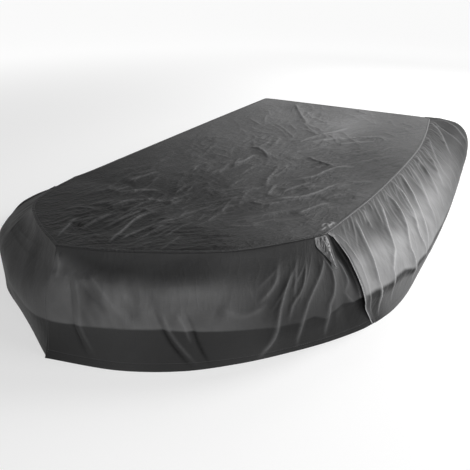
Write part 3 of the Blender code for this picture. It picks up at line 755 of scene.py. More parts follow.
def free_light(signed, below):
    """Painted light of the cloth where it hangs free, over and under the band's edge: painted shade aft, on
    the far side and at the stern, and lighter at the prow.
    """
    over, under = (
        share * (1.0 - FREE_FAN_LOSS * plateau(signed, *fan)) for share, fan in zip(FREE, FREE_FANS)
    )
    free = between((over, under), below)
    aft, far = smooth(signed, *FREE_AFT_SPAN), smooth(-signed, *FREE_FAR_SPAN)
    free *= 1.0 - FREE_AFT_LOSS * aft - FREE_FAR_LOSS * far
    free -= between(FREE_STERN, below) * smooth(-signed, *FREE_STERN_SPAN)
    return free + FREE_PROW * bell(signed - PROW_GIRTH, FREE_PROW_REACH) * below


def contact(girth, fall):
    """Painted light and shade of the skirt: 1 where the cloth lies on the light tube beneath it and 0 where
    it hangs free, lighter on the near side that faces the lamps.
    """
    side, along = unwrap(girth)
    signed = side * along
    band = np.interp(signed, *np.array(BAND_EDGE).T)
    top = np.interp(signed, *np.array(TUBE_TOP).T)
    soft = BAND_SOFT + SIDE_BAND_SOFT * smooth(signed, *SIDE_BAND_SPAN)
    below = smooth(fall, band - soft, band + soft)
    # Painted shade in the hollow, on the lying and on the free cloth.
    hollow = gap_share(signed, fall) * (signed < at_fall(EDGE_LINE, fall) + 0.001)
    hollow = hollow * (1.0 - HOLLOW_LOW_LOSS * smooth(fall, *HOLLOW_LOW_FALL))
    lit = smooth(fall, top - TUBE_OVER, top + TUBE_UNDER) * (1.0 - below) * level_at(signed, fall)
    lit = lit * np.maximum(1.0 + clouds(signed, fall), 0.1) * (1.0 - HOLLOW_SHADE * hollow)
    touching = plateau(signed, TOUCH_RISE, TOUCH_DECLINE) * smooth(fall - band, *TOUCH_FALL)
    touching *= 1.0 + TOUCH_MOST * bell(signed - TOUCH_MOST_GIRTH, TOUCH_MOST_REACH)
    free = free_light(signed, below) * (1.0 - FREE_HOLLOW_LOSS * hollow)
    return LYING_SHARE * (lit + free + TOUCHING * touching)


# --- Meshes ---

# Each grid carries its painted light and shade, and its crest lines of painted highlight.
Grid = namedtuple("Grid", "points uv contact line")


def in_scene(name, data):
    made = bpy.data.objects.new(name, data)
    bpy.context.scene.collection.objects.link(made)
    return made


def mesh_piece(name, grids):
    """One mesh of several grids, with their cloth coordinates in metres and their painted light and crest
    lines as shares.
    """
    corners, quads, flat, shares, start = [], [], [], {"contact": [], "line": []}, 0
    for grid in grids:
        rows, columns = grid.points.shape[:2]
        index = np.arange(rows * columns).reshape(rows, columns) + start
        around = (index[:-1, :-1], index[1:, :-1], index[1:, 1:], index[:-1, 1:])
        quads.append(np.stack(around, -1).reshape(-1, 4))
        corners.append(grid.points.reshape(-1, 3))
        flat.append(grid.uv.reshape(-1, 2))
        for share in shares:
            shares[share].append(np.broadcast_to(getattr(grid, share), (rows, columns)).ravel())
        start += rows * columns
    corners, quads, flat = (np.concatenate(part) for part in (corners, quads, flat))
    mesh = bpy.data.meshes.new(name)
    mesh.vertices.add(len(corners))
    mesh.vertices.foreach_set("co", corners.astype(np.float32).ravel())
    mesh.loops.add(quads.size)
    mesh.loops.foreach_set("vertex_index", quads.ravel().astype(np.int32))
    mesh.polygons.add(len(quads))
    mesh.polygons.foreach_set("loop_start", np.arange(0, quads.size, 4, dtype=np.int32))
    mesh.update(calc_edges=True)
    layer = mesh.uv_layers.new(name="cloth")
    layer.data.foreach_set("uv", flat[quads.ravel()].ravel().astype(np.float32))
    for share, values in shares.items():
        painted = mesh.attributes.new(share, "FLOAT", "POINT")
        painted.data.foreach_set("value", np.concatenate(values).astype(np.float32))
    mesh.shade_smooth()
    return in_scene(name, mesh)


# How a cut edge is turned behind the cloth: steps back from the edge and depth under the face.
HEM_TURN = ((-0.0007, 0.0004), (-0.0010, 0.0011), (-0.0005, 0.0018), (0.0040, 0.0022), (0.0180, 0.0022))
HEM_ROOM = 0.35  # the most of a piece's own width that a turned edge may take up
HEM_FLOOR = 0.0006  # the lowest that a turned edge comes
HEM_CLOTH = 0.004  # cloth from the edge to the first turned row


def turned(points, at_end, normal):
    """Rows that carry the first axis of a grid round its edge and in behind itself."""
    edge, inside = (points[-1], points[-2]) if at_end else (points[0], points[1])
    back = unit(inside - edge)
    room = HEM_ROOM * np.linalg.norm(points[-1] - points[0], axis=-1, keepdims=True)
    rows = np.stack([edge + back * np.minimum(step, room) - normal * depth for step, depth in HEM_TURN])
    rows[..., 2] = np.maximum(rows[..., 2], HEM_FLOOR)
    return rows


def turn_rows(grid, at_start, at_end, normals):
    """The grid with its first and last rows turned behind it where asked."""
    points, uv, lit, line = grid
    parts = [(points, uv, lit, line)]
    count = len(HEM_TURN)
    for wanted, last in ((at_start, False), (at_end, True)):
        if not wanted:
            continue
        end = -1 if last else 0
        rows = turned(points, last, normals[end])
        back = np.array([step + HEM_CLOTH for step, _ in HEM_TURN])[:, None, None]
        edge_uv = np.repeat(uv[end][None], count, 0) + back * (0.0, 1.0)
        edge = (rows, edge_uv, np.repeat(lit[end][None], count, 0), np.zeros((count, lit.shape[1])))
        if last:
            parts.append(edge)
        else:
            parts.insert(0, tuple(part[::-1] for part in edge))
    return Grid(*(np.concatenate(column) for column in zip(*parts)))


def swapped(grid):
    return Grid(*(np.swapaxes(part, 0, 1) for part in grid))


FALL_STEPS = 118
GIRTH_STEP = 0.0032
HEM_STITCH = 0.022  # height of the hem's stitch line over its edge
STITCH_SUNK, STITCH_REACH = 0.0007, 0.004
LIP_REACH, LIP_FALLS = 0.030, ((0.0, 0.20), (0.75, 1.0))
LIP_GROOVE, LIP_GROOVE_OFF, LIP_GROOVE_REACH = 0.004, 0.010, 0.008
HOLLOW_FALLS = ((0.0, 0.22), (0.62, 0.98))
# The free edge gets a thin painted highlight line, and painted light for a little way behind it.
RIM_LINE_WIDE, RIM_LINE_FALLS = 0.0035, (0.02, 0.12)
RIM_LIGHT, RIM_WIDE = 0.8, 0.02
RIM_LOSS, RIM_LOSS_FALLS = 0.55, (0.6, 0.68)
stitch_lines = []  # (places, normals) of every line of stitches


def panel_shift(girth, fall, off, dives, hollow):
    """How far a panel stands off the smooth skirt, apart from its folds."""
    shift = -STITCH_SUNK * bell((1 - fall) * DROP - HEM_STITCH, STITCH_REACH)
    for edge, heading, layer in dives:
        edge = at_fall(EDGE_LINE, fall) if edge == "front" else edge
        shift -= layer * smooth((girth - edge) * heading, -LAP_RAMP, -1e-4)
    if off is not None:
        shift += LIP_STAND * np.exp(-off / LIP_REACH) * plateau(fall, *LIP_FALLS)
        shift -= LIP_GROOVE * bell(off - LIP_GROOVE_OFF, LIP_GROOVE_REACH) * smooth(fall, 0.05, 0.2)
    if hollow:
        shift -= GAP_DEEP * gap_share(girth, fall) * plateau(fall, *HOLLOW_FALLS)
    return shift


def skirt_panel(name, start, end, ridges, dives=(), front_edge=False, hollow=False, edges=(False, False)):
    """A panel of the skirt. It dives under its neighbours at each (girth, heading, depth) of dives."""
    count = int((end - start) / GIRTH_STEP)
    share, fall = np.meshgrid(np.linspace(0, 1, count), np.linspace(0, 1, FALL_STEPS), indexing="ij")
    first = at_fall(EDGE_LINE, fall) if front_edge else start
    girth = first + (end - first) * share
    off = girth - first if front_edge else None
    points, line = skirt_surface(girth, fall, ridges, panel_shift(girth, fall, off, dives, hollow))
    # Painted light and shade of the panel.
    lit = contact(girth, fall)
    if front_edge:
        # Painted highlight along the free front edge, and painted light just behind it.
        line = np.maximum(line, np.exp(-off / RIM_LINE_WIDE) * smooth(fall, *RIM_LINE_FALLS))
        rim = np.exp(-((off / RIM_WIDE) ** 2)) * (1 - RIM_LOSS * smooth(fall, *RIM_LOSS_FALLS))
        lit = np.maximum(lit, RIM_LIGHT * rim)
    normals = outward(girth, fall)
    grid = turn_rows(Grid(points, np.stack([girth, fall * DROP], -1), lit, line), *edges, normals)
    added = len(grid.points) - len(points)
    low = [normals[:1]] * added + [normals] if edges[0] else [normals] + [normals[-1:]] * added
    low = np.swapaxes(np.concatenate(low), 0, 1)
    grid = swapped(turn_rows(swapped(grid), False, True, low))
    row = int(round((1 - HEM_STITCH / DROP) * (FALL_STEPS - 1)))
    stitch_lines.append((points[:, row], normals[:, row]))
    for wanted, column in zip(edges, (2, -3)):
        if wanted:
            stitch_lines.append((points[column, 4:-3], normals[column, 4:-3]))
    return mesh_piece(name, [Grid(*(part[:, ::-1] for part in grid))])


TOP_ROWS = 430
TOP_COLUMNS = 196
ROLL_STEP = 0.0055
# The top's rolled edge: outward and up from the seam line, and how strong its painted highlight and wear
# are.
ROLL = (
    (-0.0085, -0.0004, 0.0), (-0.0040, 0.0006, 0.3), (-0.0010, 0.0013, 1.0), (0.0012, 0.0012, 1.0),
    (0.0026, 0.0000, 0.7), (0.0027, -0.0022, 0.2), (0.0008, -0.0060, 0.0),
)
ROLL_CLOTH = 0.003  # cloth from one row of the roll to the next
PUCKER, PUCKER_CELL = 0.0003, 0.012
SEAM_STITCH = (-0.0075, 0.0007)

# Small crinkles that run over one half of the top, "turn" degrees from the X axis.
Streaks = namedtuple("Streaks", "half height turn long wide noise warp")
TOP_STREAKS = (
    Streaks("port", 0.0050, 57, 0.20, 0.048, MIDDLE, FINE),
    Streaks("starboard", 0.0050, 98, 0.17, 0.050, BROAD, FINE),
    Streaks("port", 0.0018, 46, 0.17, 0.024, FINE, BROAD),
    Streaks("starboard", 0.0018, 86, 0.16, 0.026, MIDDLE, BROAD),
    Streaks("both", 0.0013, -28, 0.14, 0.040, PATCHES, FINE),
)


def streaks(row, x, y):
    c, s = math.cos(math.radians(row.turn)), math.sin(math.radians(row.turn))
    u, v = x * c + y * s, y * c - x * s
    bent = v + 0.35 * row.wide * row.warp(u / (0.8 * row.long), v / (3 * row.wide))
    return (1.0 - np.abs(row.noise(u / row.long, bent / row.wide))) ** 3


def top_crinkles(x, y):
    """Small crinkles that gather in patches, along the way the cloth is pulled."""
    port = smooth(x, -0.15, 0.28)
    shares = {"port": port, "starboard": 1.0 - port, "both": 1.0}
    lift = sum(row.height * shares[row.half] * streaks(row, x, y) for row in TOP_STREAKS)
    gathered = 0.35 + 0.65 * smooth(PATCHES(x / 0.23 + 5, y / 0.33), -0.25, 0.45)
    calm_aft = 1.0 - 0.45 * smooth(y, 0.35, 1.0)
    waves = 0.0045 * BROAD(x / 0.30, y / 0.42) + 0.0020 * PATCHES(x / 0.12, y / 0.17)
    return lift * gathered * calm_aft + waves


# Painted light of the top, lighter towards the stern, as (y, share).
TOP_LEVELS = (
    (-1.35, 0.000), (-0.95, 0.005), (-0.5, 0.130), (0.0, 0.270), (0.6, 0.400), (1.0, 0.500), (1.3, 0.500),
)
TOP_LINE = 0.40  # the top's crests get weaker painted highlights and wear than the skirt's


def top_light(x, y):
    """Painted light of the top: lighter towards the stern, darker amidships to port, lighter by the near
    shoulder, and mottled.
    """
    to_port = smooth(x, 0.15, 0.45)
    lit = np.interp(y, *np.array(TOP_LEVELS).T) - 0.20 * to_port * smooth(y, -0.35, 0.20)
    lit = lit * (1.0 + 0.22 * PATCHES(x / 0.35, y / 0.45))
    return lit + 0.12 * smooth(x, 0.10, 0.45) * bell(y + 0.58, 0.38)


def top_grid():
    table = np.linspace(0.0, GIRTH_OF["aft_corner"], 4000)
    ys = seam_points(table)[:, 1]
    girths = np.interp(np.linspace(BOW_TIP_Y + 0.003, ys[-1], TOP_ROWS), ys, table)
    port, starboard = seam_points(girths), seam_points(-girths)
    across = np.linspace(0.0, 1.0, TOP_COLUMNS)[None, :, None]
    points = starboard[:, None] * (1 - across) + port[:, None] * across
    x, y = points[..., 0], points[..., 1]
    u = np.abs(2 * across[..., 0] - 1)
    inland = np.minimum((1 - u) * np.linalg.norm(port - starboard, axis=1)[:, None] / 2, STERN_Y - y)
    sag = TOP_SAG * (1 - (1 - np.clip(inland / 0.6, 0, 1)) ** 2)
    small = tuple(ridge for patch in TOP_PATCHES for ridge in scattered(patch))
    lift, line = ridge_fields(TOP_RIDGES + small, x, y)
    rucked, rucked_line = ridge_fields(SHOULDER_RUCKS, x, y)
    edge = smooth(inland, 0.0, 0.05) * (0.25 + 0.75 * smooth(x - starboard[:, None, 0], 0.02, 0.30))
    points[..., 2] = seam_height(y) - sag + edge * (lift + top_crinkles(x, y))
    points[..., 2] += rucked * smooth(inland, 0.0, 0.008)
    # Painted highlights and wear along the top's crests and rucks.
    line = np.maximum(TOP_LINE * line * edge, RUCK_LINE * rucked_line)
    return Grid(points[::-1], points[::-1, :, :2].copy(), top_light(x, y)[::-1], line[::-1])


def seam_frame():
    """Places round the top seam, and the level direction that points out from it."""
    girths = np.linspace(0, 2 * HALF_GIRTH, int(2 * HALF_GIRTH / ROLL_STEP))
    reach = 0.012
    along = seam_points(girths + reach) - seam_points(girths - reach)
    out = unit(np.stack([along[:, 1], -along[:, 0], np.zeros(len(girths))], -1))
    return girths, seam_points(girths), out


def seam_roll():
    """The rolled edge of the top, in painted light and with painted highlights and wear along its crest,
    both stronger along the near side.
    """
    girths, seam, out = seam_frame()
    side, along = unwrap(girths)
    up = np.array([0.0, 0.0, 1.0])
    pucker = PUCKER * FINE(girths / PUCKER_CELL, girths * 0)[:, None]
    points = np.stack([seam + out * step + up * (rise + pucker) for step, rise, _ in ROLL], 1)
    uv = np.stack(np.broadcast_arrays(girths[:, None], np.arange(len(ROLL)) * ROLL_CLOTH), -1)
    # Painted light along the roll and painted highlights with wear on its crest, more on the near side.
    lit = np.broadcast_to(0.04 + 0.20 * smooth(along, 1.1, 1.3)[:, None], points.shape[:2])
    pale = (0.04 + 0.34 * smooth(side * along, 1.0, 1.2))[:, None] * [wear_and_highlight for _, _, wear_and_highlight in ROLL]
    stitches = seam + out * SEAM_STITCH[0] + up * SEAM_STITCH[1]
    stitch_lines.append((stitches, np.broadcast_to(up, seam.shape)))
    return Grid(points[:, ::-1], uv[:, ::-1], lit[:, ::-1], pale[:, ::-1])


# The tuck's two edges as (fall, girth).
TUCK_LEFT = (
    (0.0, 0.938), (0.06, 0.926), (0.12, 0.934), (0.16, 0.962), (0.20, 0.990), (0.28, 1.000), (0.345, 1.005),
)
TUCK_RIGHT = (
    (0.0, 1.112), (0.04, 1.110), (0.10, 1.094), (0.16, 1.058), (0.21, 1.034), (0.28, 1.014), (0.345, 1.006),
)
TUCK_START, TUCK_END = 0.006, 0.345
TUCK_WANDER = 0.006
TUCK_STAND, TUCK_LEAN, TUCK_CREST = 0.002, 0.005, 0.012
TUCK_TAIL, TUCK_TAIL_STAND = (0.60, 0.95), 0.011
TUCK_CRUMPLE, TUCK_CRINKLE = 0.006, 0.0025
TUCK_SINK = 0.05  # the share of the hollow's depth that the tuck follows


def tuck_stand(down, across, crumple, crinkle):
    """How far the tuck stands off the skirt: a crumpled arch that runs out into a flat tail."""
    tail = smooth(down, *TUCK_TAIL)
    crest = smooth(across, 0.0, 0.45) * (1.0 - 0.9 * smooth(across, 0.45, 1.0)) * (1.0 - 0.75 * tail)
    arch = np.sin(np.pi * np.clip(across, 0, 1)) ** 0.7 * (1.0 - 0.9 * tail)
    stand = TUCK_STAND + TUCK_LEAN * down + TUCK_CREST * crest
    stand = stand + arch * (TUCK_CRUMPLE * crumple + TUCK_CRINKLE * crinkle)
    return stand * smooth(down, 0.0, 0.12) + TUCK_TAIL_STAND * tail


def tuck_grid():
    """The pinched leaf of surplus cloth at the near shoulder, crumpled and pointed."""
    down, across = np.meshgrid(np.linspace(0, 1, 96), np.linspace(0, 1, 72), indexing="ij")
    fall = between((TUCK_START, TUCK_END), down)
    left, right = at_fall(TUCK_LEFT, fall), at_fall(TUCK_RIGHT, fall)
    wander = TUCK_WANDER * MIDDLE(down * 5, across * 3) * np.sin(np.pi * down)
    girth = between((left, right), across) + wander
    u, v = girth, fall * DROP
    crumple = (1 - np.abs(MIDDLE((u + 0.6 * v) / 0.020, v / 0.045))) ** 3
    crinkle = (1 - np.abs(FINE((u - 0.3 * v) / 0.010, v / 0.024))) ** 3
    sunk = TUCK_SINK * GAP_DEEP * gap_share(girth, fall) * smooth(fall, 0.0, 0.22)
    normals = outward(girth, fall)
    stand = tuck_stand(down, across, crumple, crinkle) - sunk
    points = skirt_base(girth, fall) + normals * stand[..., None]
    # Painted highlights on the crumples' crests and along the rims, and painted light over the tuck,
    # strongest on its tail.
    rim = np.exp(-14 * np.minimum(across, 1 - across))
    line = np.clip(0.8 * smooth(crumple, 0.55, 0.95) + 0.5 * rim, 0, 1)
    lit = 1.0 + 0.8 * (crumple - 0.4) + 1.6 * smooth(down, 0.45, 0.80)
    grid = Grid(points, np.stack([u, v], -1), lit, line)
    grid = swapped(turn_rows(swapped(grid), True, True, np.swapaxes(normals, 0, 1)))
    return Grid(*(part[:, ::-1] for part in grid))


STITCH_STEP = 0.0075
# A stitch's foot and its top: height over the cloth, and half its length and width.
STITCH_LEVELS = ((-0.0005, 0.0024, 0.00055), (0.0007, 0.001632, 0.000308))
BLOCK_CORNERS = ((-1, -1), (1, -1), (1, 1), (-1, 1))
BLOCK_FACES = ((4, 5, 6, 7), (0, 1, 5, 4), (1, 2, 6, 5), (2, 3, 7, 6), (3, 0, 4, 7), (3, 2, 1, 0))


def stitching():
    """All stitches as one mesh of small rounded blocks along stitch_lines."""
    corners = []
    for points, normals in stitch_lines:
        run = np.concatenate([[0.0], np.cumsum(np.linalg.norm(np.diff(points, axis=0), axis=1))])
        at = np.arange(STITCH_STEP, run[-1] - STITCH_STEP, STITCH_STEP)

        def sample(values, where):
            return np.stack([np.interp(where, run, values[:, i]) for i in range(3)], -1)

        middle, normal = sample(points, at), unit(sample(normals, at))
        along = unit(sample(points, at + 0.002) - sample(points, at - 0.002))
        side = unit(np.cross(along, normal))
        for high, long, wide in STITCH_LEVELS:
            for a, b in BLOCK_CORNERS:
                corners.append(middle + normal * high + along * (a * long) + side * (b * wide))
    blocks = [np.stack(corners[i : i + 8], 1) for i in range(0, len(corners), 8)]
    vertices = np.concatenate(blocks).reshape(-1, 3)
    start = np.arange(len(vertices) // 8)[:, None, None] * 8
    mesh = bpy.data.meshes.new("cover_stitching")
    mesh.from_pydata(vertices.tolist(), [], (np.array(BLOCK_FACES) + start).reshape(-1, 4).tolist())
    return in_scene("cover_stitching", mesh)


# --- Materials ---


class Nodes:
    """Short ways to add and link a material's nodes."""

    def __init__(self, name):
        self.material = bpy.data.materials.new(name)
        self.material.use_nodes = True
        self.tree = self.material.node_tree
        self.shader = self.tree.nodes["Principled BSDF"]

    def add(self, kind, **settings):
        node = self.tree.nodes.new("ShaderNode" + kind)
        for key, value in settings.items():
            if key in node.bl_rna.properties:
                setattr(node, key, value)
            else:
                node.inputs[key.replace("_", " ")].default_value = value
        return node

    def link(self, source, target):
        self.tree.links.new(source, target)

    def math(self, operation, a, b=None):
        node = self.add("Math", operation=operation)
        for socket, value in zip(node.inputs, (a, b)):
            if value is None:
                continue
            if isinstance(value, (int, float)):
                socket.default_value = value
            else:
                self.link(value, socket)
        return node.outputs[0]

    def mix(self, factor, a, b, blend="MIX"):
        """Colour a mixed with colour b; a factor over 1 goes on past b."""
        node = self.add("Mix", data_type="RGBA", blend_type=blend, clamp_factor=False)
        for socket, value in zip((node.inputs[0], *node.inputs[6:8]), (factor, a, b)):
            if isinstance(value, tuple):
                socket.default_value = (*value, 1.0)
            elif isinstance(value, (int, float)):
                socket.default_value = value
            else:
                self.link(value, socket)
        return node.outputs[2]

    def noise(self, place, scale, stretch=(1, 1, 1), turn=0.0, detail=3.0):
        mapping = self.add("Mapping")
        mapping.inputs["Scale"].default_value = stretch
        mapping.inputs["Rotation"].default_value = (0, 0, math.radians(turn))
        self.link(place, mapping.inputs["Vector"])
        node = self.add("TexNoise", Scale=scale, Detail=detail)
        self.link(mapping.outputs[0], node.inputs["Vector"])
        return node.outputs["Fac"]

    def bump(self, height, distance, strength, after=None):
        node = self.add("Bump", Distance=distance, Strength=strength)
        self.link(height, node.inputs["Height"])
        if after is not None:
            self.link(after, node.inputs["Normal"])
        return node.outputs[0]


DARK_THREAD, PALE_THREAD = (0.035, 0.035, 0.036), (0.085, 0.085, 0.087)
# The cloth in painted shade, in full painted light, and along its crests with painted highlights and wear.
SHADED_FREE_CLOTH = (0.0080, 0.0080, 0.0082)
LIT_LYING_CLOTH = (0.2400, 0.2400, 0.2420)
CREST_WEAR_AND_HIGHLIGHT_CLOTH = (0.3400, 0.3400, 0.3430)


CLOUDY, MOTTLED, CREST_NOISE = 6.0, 42.0, 160.0  # scales of the noises in the cloth's colour
SHADE_LEAST, CLOUD_SHARE, MOTTLE_SHARE = 0.77, 0.30, 0.16
WEAVE_SCALE, WEAVE_HIGH = 196.0, 0.00008
CRINKLE_HIGH, CRINKLE_SHARP = 0.0022, 5.0
TOP_CRINKLED, SKIRT_CRINKLED = 1.0, 0.35


def cloth_colour(n, flat, mottled):
    """Dark free cloth in painted shade, paler with painted light where it lies on something and faces the
    lamps, and palest along its crests with painted highlights and wear.
    """
    # Painted light and shade of each place, and its crest lines of painted highlight and wear.
    lit_share = n.add("Attribute", attribute_name="contact").outputs["Fac"]
    crest = n.add("Attribute", attribute_name="line").outputs["Fac"]
    cloudy = n.noise(flat, CLOUDY, detail=4.0)
    wear_and_highlight = n.noise(flat, CREST_NOISE, detail=2.0)
    shade = n.mix(lit_share, SHADED_FREE_CLOTH, LIT_LYING_CLOTH)
    pale = n.math("MULTIPLY", crest, n.math("ADD", wear_and_highlight, 0.35))
    shade = n.mix(pale, shade, CREST_WEAR_AND_HIGHLIGHT_CLOTH)
    tint = n.math("ADD", n.math("MULTIPLY", cloudy, CLOUD_SHARE), n.math("MULTIPLY", mottled, MOTTLE_SHARE))
    tint = n.math("ADD", tint, SHADE_LEAST)
    grey = n.add("CombineColor")
    for socket in grey.inputs:
        n.link(tint, socket)
    return n.mix(1.0, shade, grey.outputs[0], "MULTIPLY")


def cloth_bumps(n, flat, crinkled):
    """Small crinkles that gather in patches, and the weave."""
    first = n.noise(flat, 30.0, (1.0, 0.30, 1.0), -32.0, 2.0)
    second = n.noise(flat, 62.0, (0.35, 1.0, 1.0), 24.0, 2.0)
    half = n.math("MULTIPLY", ridged(n, second, CRINKLE_SHARP), 0.5)
    crinkle = n.math("ADD", ridged(n, first, CRINKLE_SHARP), half)
    crinkle = n.math("MULTIPLY", crinkle, n.noise(flat, 7.0, detail=1.0))
    threads = [n.add("TexWave", bands_direction=axis, Scale=WEAVE_SCALE) for axis in "XY"]
    for thread in threads:
        n.link(flat, thread.inputs["Vector"])
    weave = n.math("MAXIMUM", *(thread.outputs["Fac"] for thread in threads))
    return n.bump(weave, WEAVE_HIGH, 0.5, n.bump(crinkle, CRINKLE_HIGH, crinkled))


def cloth_material(name, crinkled):
    n = Nodes(name)
    flat = n.add("UVMap", uv_map="cloth").outputs[0]
    mottled = n.noise(flat, MOTTLED, detail=3.0)
    n.link(cloth_colour(n, flat, mottled), n.shader.inputs["Base Color"])
    n.link(n.math("ADD", n.math("MULTIPLY", mottled, 0.12), 0.54), n.shader.inputs["Roughness"])
    n.shader.inputs["Specular IOR Level"].default_value = 0.15
    n.shader.inputs["Sheen Weight"].default_value = 0.04
    n.shader.inputs["Sheen Roughness"].default_value = 0.45
    n.link(cloth_bumps(n, flat, crinkled), n.shader.inputs["Normal"])
    return n.material


def ridged(n, value, sharp):
    """Noise folded at its middle into thin crests."""
    folded = n.math("ABSOLUTE", n.math("SUBTRACT", value, 0.5))
    return n.math("POWER", n.math("SUBTRACT", 1.0, n.math("MULTIPLY", folded, 2.0)), sharp)


def thread_material():
    n = Nodes("cover_thread")
    place = n.add("TexCoord").outputs["Object"]
    speck = n.noise(place, 900.0, detail=2.0)
    n.link(n.mix(speck, DARK_THREAD, PALE_THREAD), n.shader.inputs["Base Color"])
    n.shader.inputs["Roughness"].default_value = 0.55
    n.link(n.bump(speck, 0.0003, 0.5), n.shader.inputs["Normal"])
    return n.material


FLOOR_GREY = 0.42
FLOOR_GLOW, FAR_GLOW = 0.60, 0.92
GLOW_START, GLOW_END = 2.0, 7.0  # distances from the cover between which the glow grows


def floor_material():
    n = Nodes("floor")
    grain = n.noise(n.add("TexCoord").outputs["Object"], 3.0, detail=2.0)
    low, high = (FLOOR_GREY * 0.99,) * 3, (FLOOR_GREY * 1.01,) * 3
    n.link(n.mix(grain, low, high), n.shader.inputs["Base Color"])
    n.shader.inputs["Roughness"].default_value = 0.95
    n.shader.inputs["Specular IOR Level"].default_value = 0.1
    n.shader.inputs["Emission Color"].default_value = (1, 1, 1, 1)
    place = n.add("SeparateXYZ")
    n.link(n.add("TexCoord").outputs["Object"], place.inputs[0])
    squares = [n.math("MULTIPLY", axis, axis) for axis in place.outputs[:2]]
    away = n.math("SQRT", n.math("ADD", *squares))
    spread = n.add("MapRange", interpolation_type="SMOOTHSTEP")
    n.link(away, spread.inputs["Value"])
    ends = {"From Min": GLOW_START, "From Max": GLOW_END, "To Min": FLOOR_GLOW, "To Max": FAR_GLOW}
    for name, value in ends.items():
        spread.inputs[name].default_value = value
    n.link(spread.outputs[0], n.shader.inputs["Emission Strength"])
    return n.material


# --- Studio and camera ---

Light = namedtuple("Light", "name azimuth height watts")  # degrees from +X towards +Y, and upward

LIGHTS = (
    Light("key", 45, 35, 169),
    Light("port_fill", 0, 35, 68),
    Light("stern_fill", 90, 32, 59),
    Light("bow_fill", 315, 12, 61),
)
LIGHT_REACH = 4.5
LIGHT_SIZE = 2.0
WORLD_STRENGTH = 0.02


# The floor as (distance, height) outwards: level round the cover, then curving up to a backdrop.
FLOOR_PROFILE = ((0.01, 0.0), (10.0, 0.0), (30.0, 0.0), (40.0, 1.0), (48.0, 3.0), (55.0, 6.5), (60.0, 11.0))
FLOOR_SIDES = 64


def studio():
    turns = np.linspace(0, 2 * np.pi, FLOOR_SIDES, endpoint=False)
    corners = [(r * math.cos(t), r * math.sin(t), height) for r, height in FLOOR_PROFILE for t in turns]
    faces = [
        (row + i, row + FLOOR_SIDES + i, row + FLOOR_SIDES + j, row + j)
        for row in range(0, FLOOR_SIDES * (len(FLOOR_PROFILE) - 1), FLOOR_SIDES)
        for i, j in zip(range(FLOOR_SIDES), [*range(1, FLOOR_SIDES), 0])
    ]
    mesh = bpy.data.meshes.new("floor")
    mesh.from_pydata(corners, [], faces)
    mesh.shade_smooth()
    mesh.materials.append(floor_material())
    floor = in_scene("floor", mesh)
    world = bpy.data.worlds.new("studio")
    bpy.context.scene.world = world
    world.use_nodes = True
    world.node_tree.nodes["Background"].inputs["Color"].default_value = (1, 1, 1, 1)
    world.node_tree.nodes["Background"].inputs["Strength"].default_value = WORLD_STRENGTH
    target = Vector((0.0, 0.0, 0.15))
    for light in LIGHTS:
        turn, rise = math.radians(light.azimuth), math.radians(light.height)
        away = Vector((math.cos(turn) * math.cos(rise), math.sin(turn) * math.cos(rise), math.sin(rise)))
        data = bpy.data.lights.new(light.name, "AREA")
        data.shape = "SQUARE"
        data.size = LIGHT_SIZE
        data.energy = light.watts
        lamp = in_scene(light.name, data)
        lamp.location = target + away * LIGHT_REACH
        lamp.rotation_euler = away.to_track_quat("Z", "Y").to_euler()
    bpy.context.scene.view_settings.view_transform = "Standard"


SENSOR_WIDTH = 36.0
LENS = 38.56
CAMERA_PLACE = (1.1654, -2.2609, 1.1030)
CAMERA_TURN = (62.7, 0.0, 29.9)  # degrees about X, Y and Z


def camera():
    data = bpy.data.cameras.new("camera")
    data.sensor_width = SENSOR_WIDTH
    data.lens = LENS
    data.dof.use_dof = False
    view = in_scene("camera", data)
    view.location = CAMERA_PLACE
    view.rotation_euler = [math.radians(turn) for turn in CAMERA_TURN]
    bpy.context.scene.camera = view


# --- The cover ---

# The flat size each piece is cut to, hem and laps included.
Cut = namedtuple("Cut", "node wide long area")

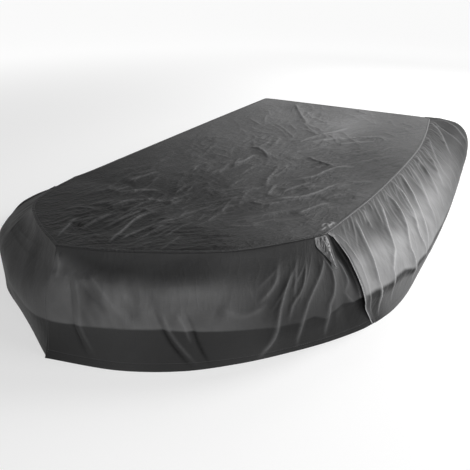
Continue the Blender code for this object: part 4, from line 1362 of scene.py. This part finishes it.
CUTS = (
    Cut("top_panel", 1.36, 2.72, 3.34),
    Cut("side_panel_port", 0.46, 2.36, 0.94),
    Cut("bow_panel_port", 0.44, 1.44, 0.55),
    Cut("bow_panel_starboard", 0.44, 1.26, 0.49),
    Cut("side_panel_starboard", 0.46, 2.36, 0.97),
    Cut("stern_panel", 0.38, 1.90, 0.59),
    Cut("shoulder_tuck", 0.16, 0.17, 0.014),
)


def build_cover():
    """The cover's pieces by the node of the solid that each stands for."""
    shoulder, corner = GIRTH_OF["shoulder"], GIRTH_OF["corner"]
    full = 2 * HALF_GIRTH
    near_side, far_side = SIDE_RIDGES + folds_at("near_side"), folds_at("far_side")
    bow = BOW_RIDGES + folds_at("bow")
    far = BOW_RIDGES + folds_at("far_bow") + far_side
    stern = near_side + folds_at("stern") + tuple(carried_round(ridge) for ridge in far_side)
    return {
        "top_panel": mesh_piece("cover_top", [top_grid(), seam_roll()]),
        "side_panel_port": skirt_panel(
            "cover_side_port", shoulder, corner, near_side, front_edge=True, edges=(True, True)
        ),
        "bow_panel_port": skirt_panel(
            "cover_bow_port", 0.0, shoulder + FRONT_LAP, bow, (("front", 1, LAP_LAYER),),
            hollow=True, edges=(True, False),
        ),
        "bow_panel_starboard": skirt_panel(
            "cover_bow_starboard", -shoulder - SIDE_LAP, SIDE_LAP, far,
            ((-shoulder, -1, LAP_LAYER), (0.0, 1, PROW_LAYER)),
        ),
        "side_panel_starboard": skirt_panel(
            "cover_side_starboard", -corner, -shoulder, far, edges=(True, True)
        ),
        "stern_panel": skirt_panel(
            "cover_stern", corner - SIDE_LAP, full - corner + SIDE_LAP, stern,
            ((corner, -1, LAP_LAYER), (full - corner, 1, LAP_LAYER)),
        ),
        "shoulder_tuck": mesh_piece("cover_tuck", [tuck_grid()]),
    }


camera()
studio()
top_cloth = cloth_material("cover_cloth_top", TOP_CRINKLED)
skirt_cloth = cloth_material("cover_cloth_skirt", SKIRT_CRINKLED)
pieces = build_cover()
for node, piece in pieces.items():
    piece.data.materials.append(top_cloth if node == "top_panel" else skirt_cloth)
    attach(piece, "root")
    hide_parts(node)
thread = stitching()
thread.data.materials.append(thread_material())
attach(thread, "root")

for cut in CUTS:
    piece = pieces[cut.node]
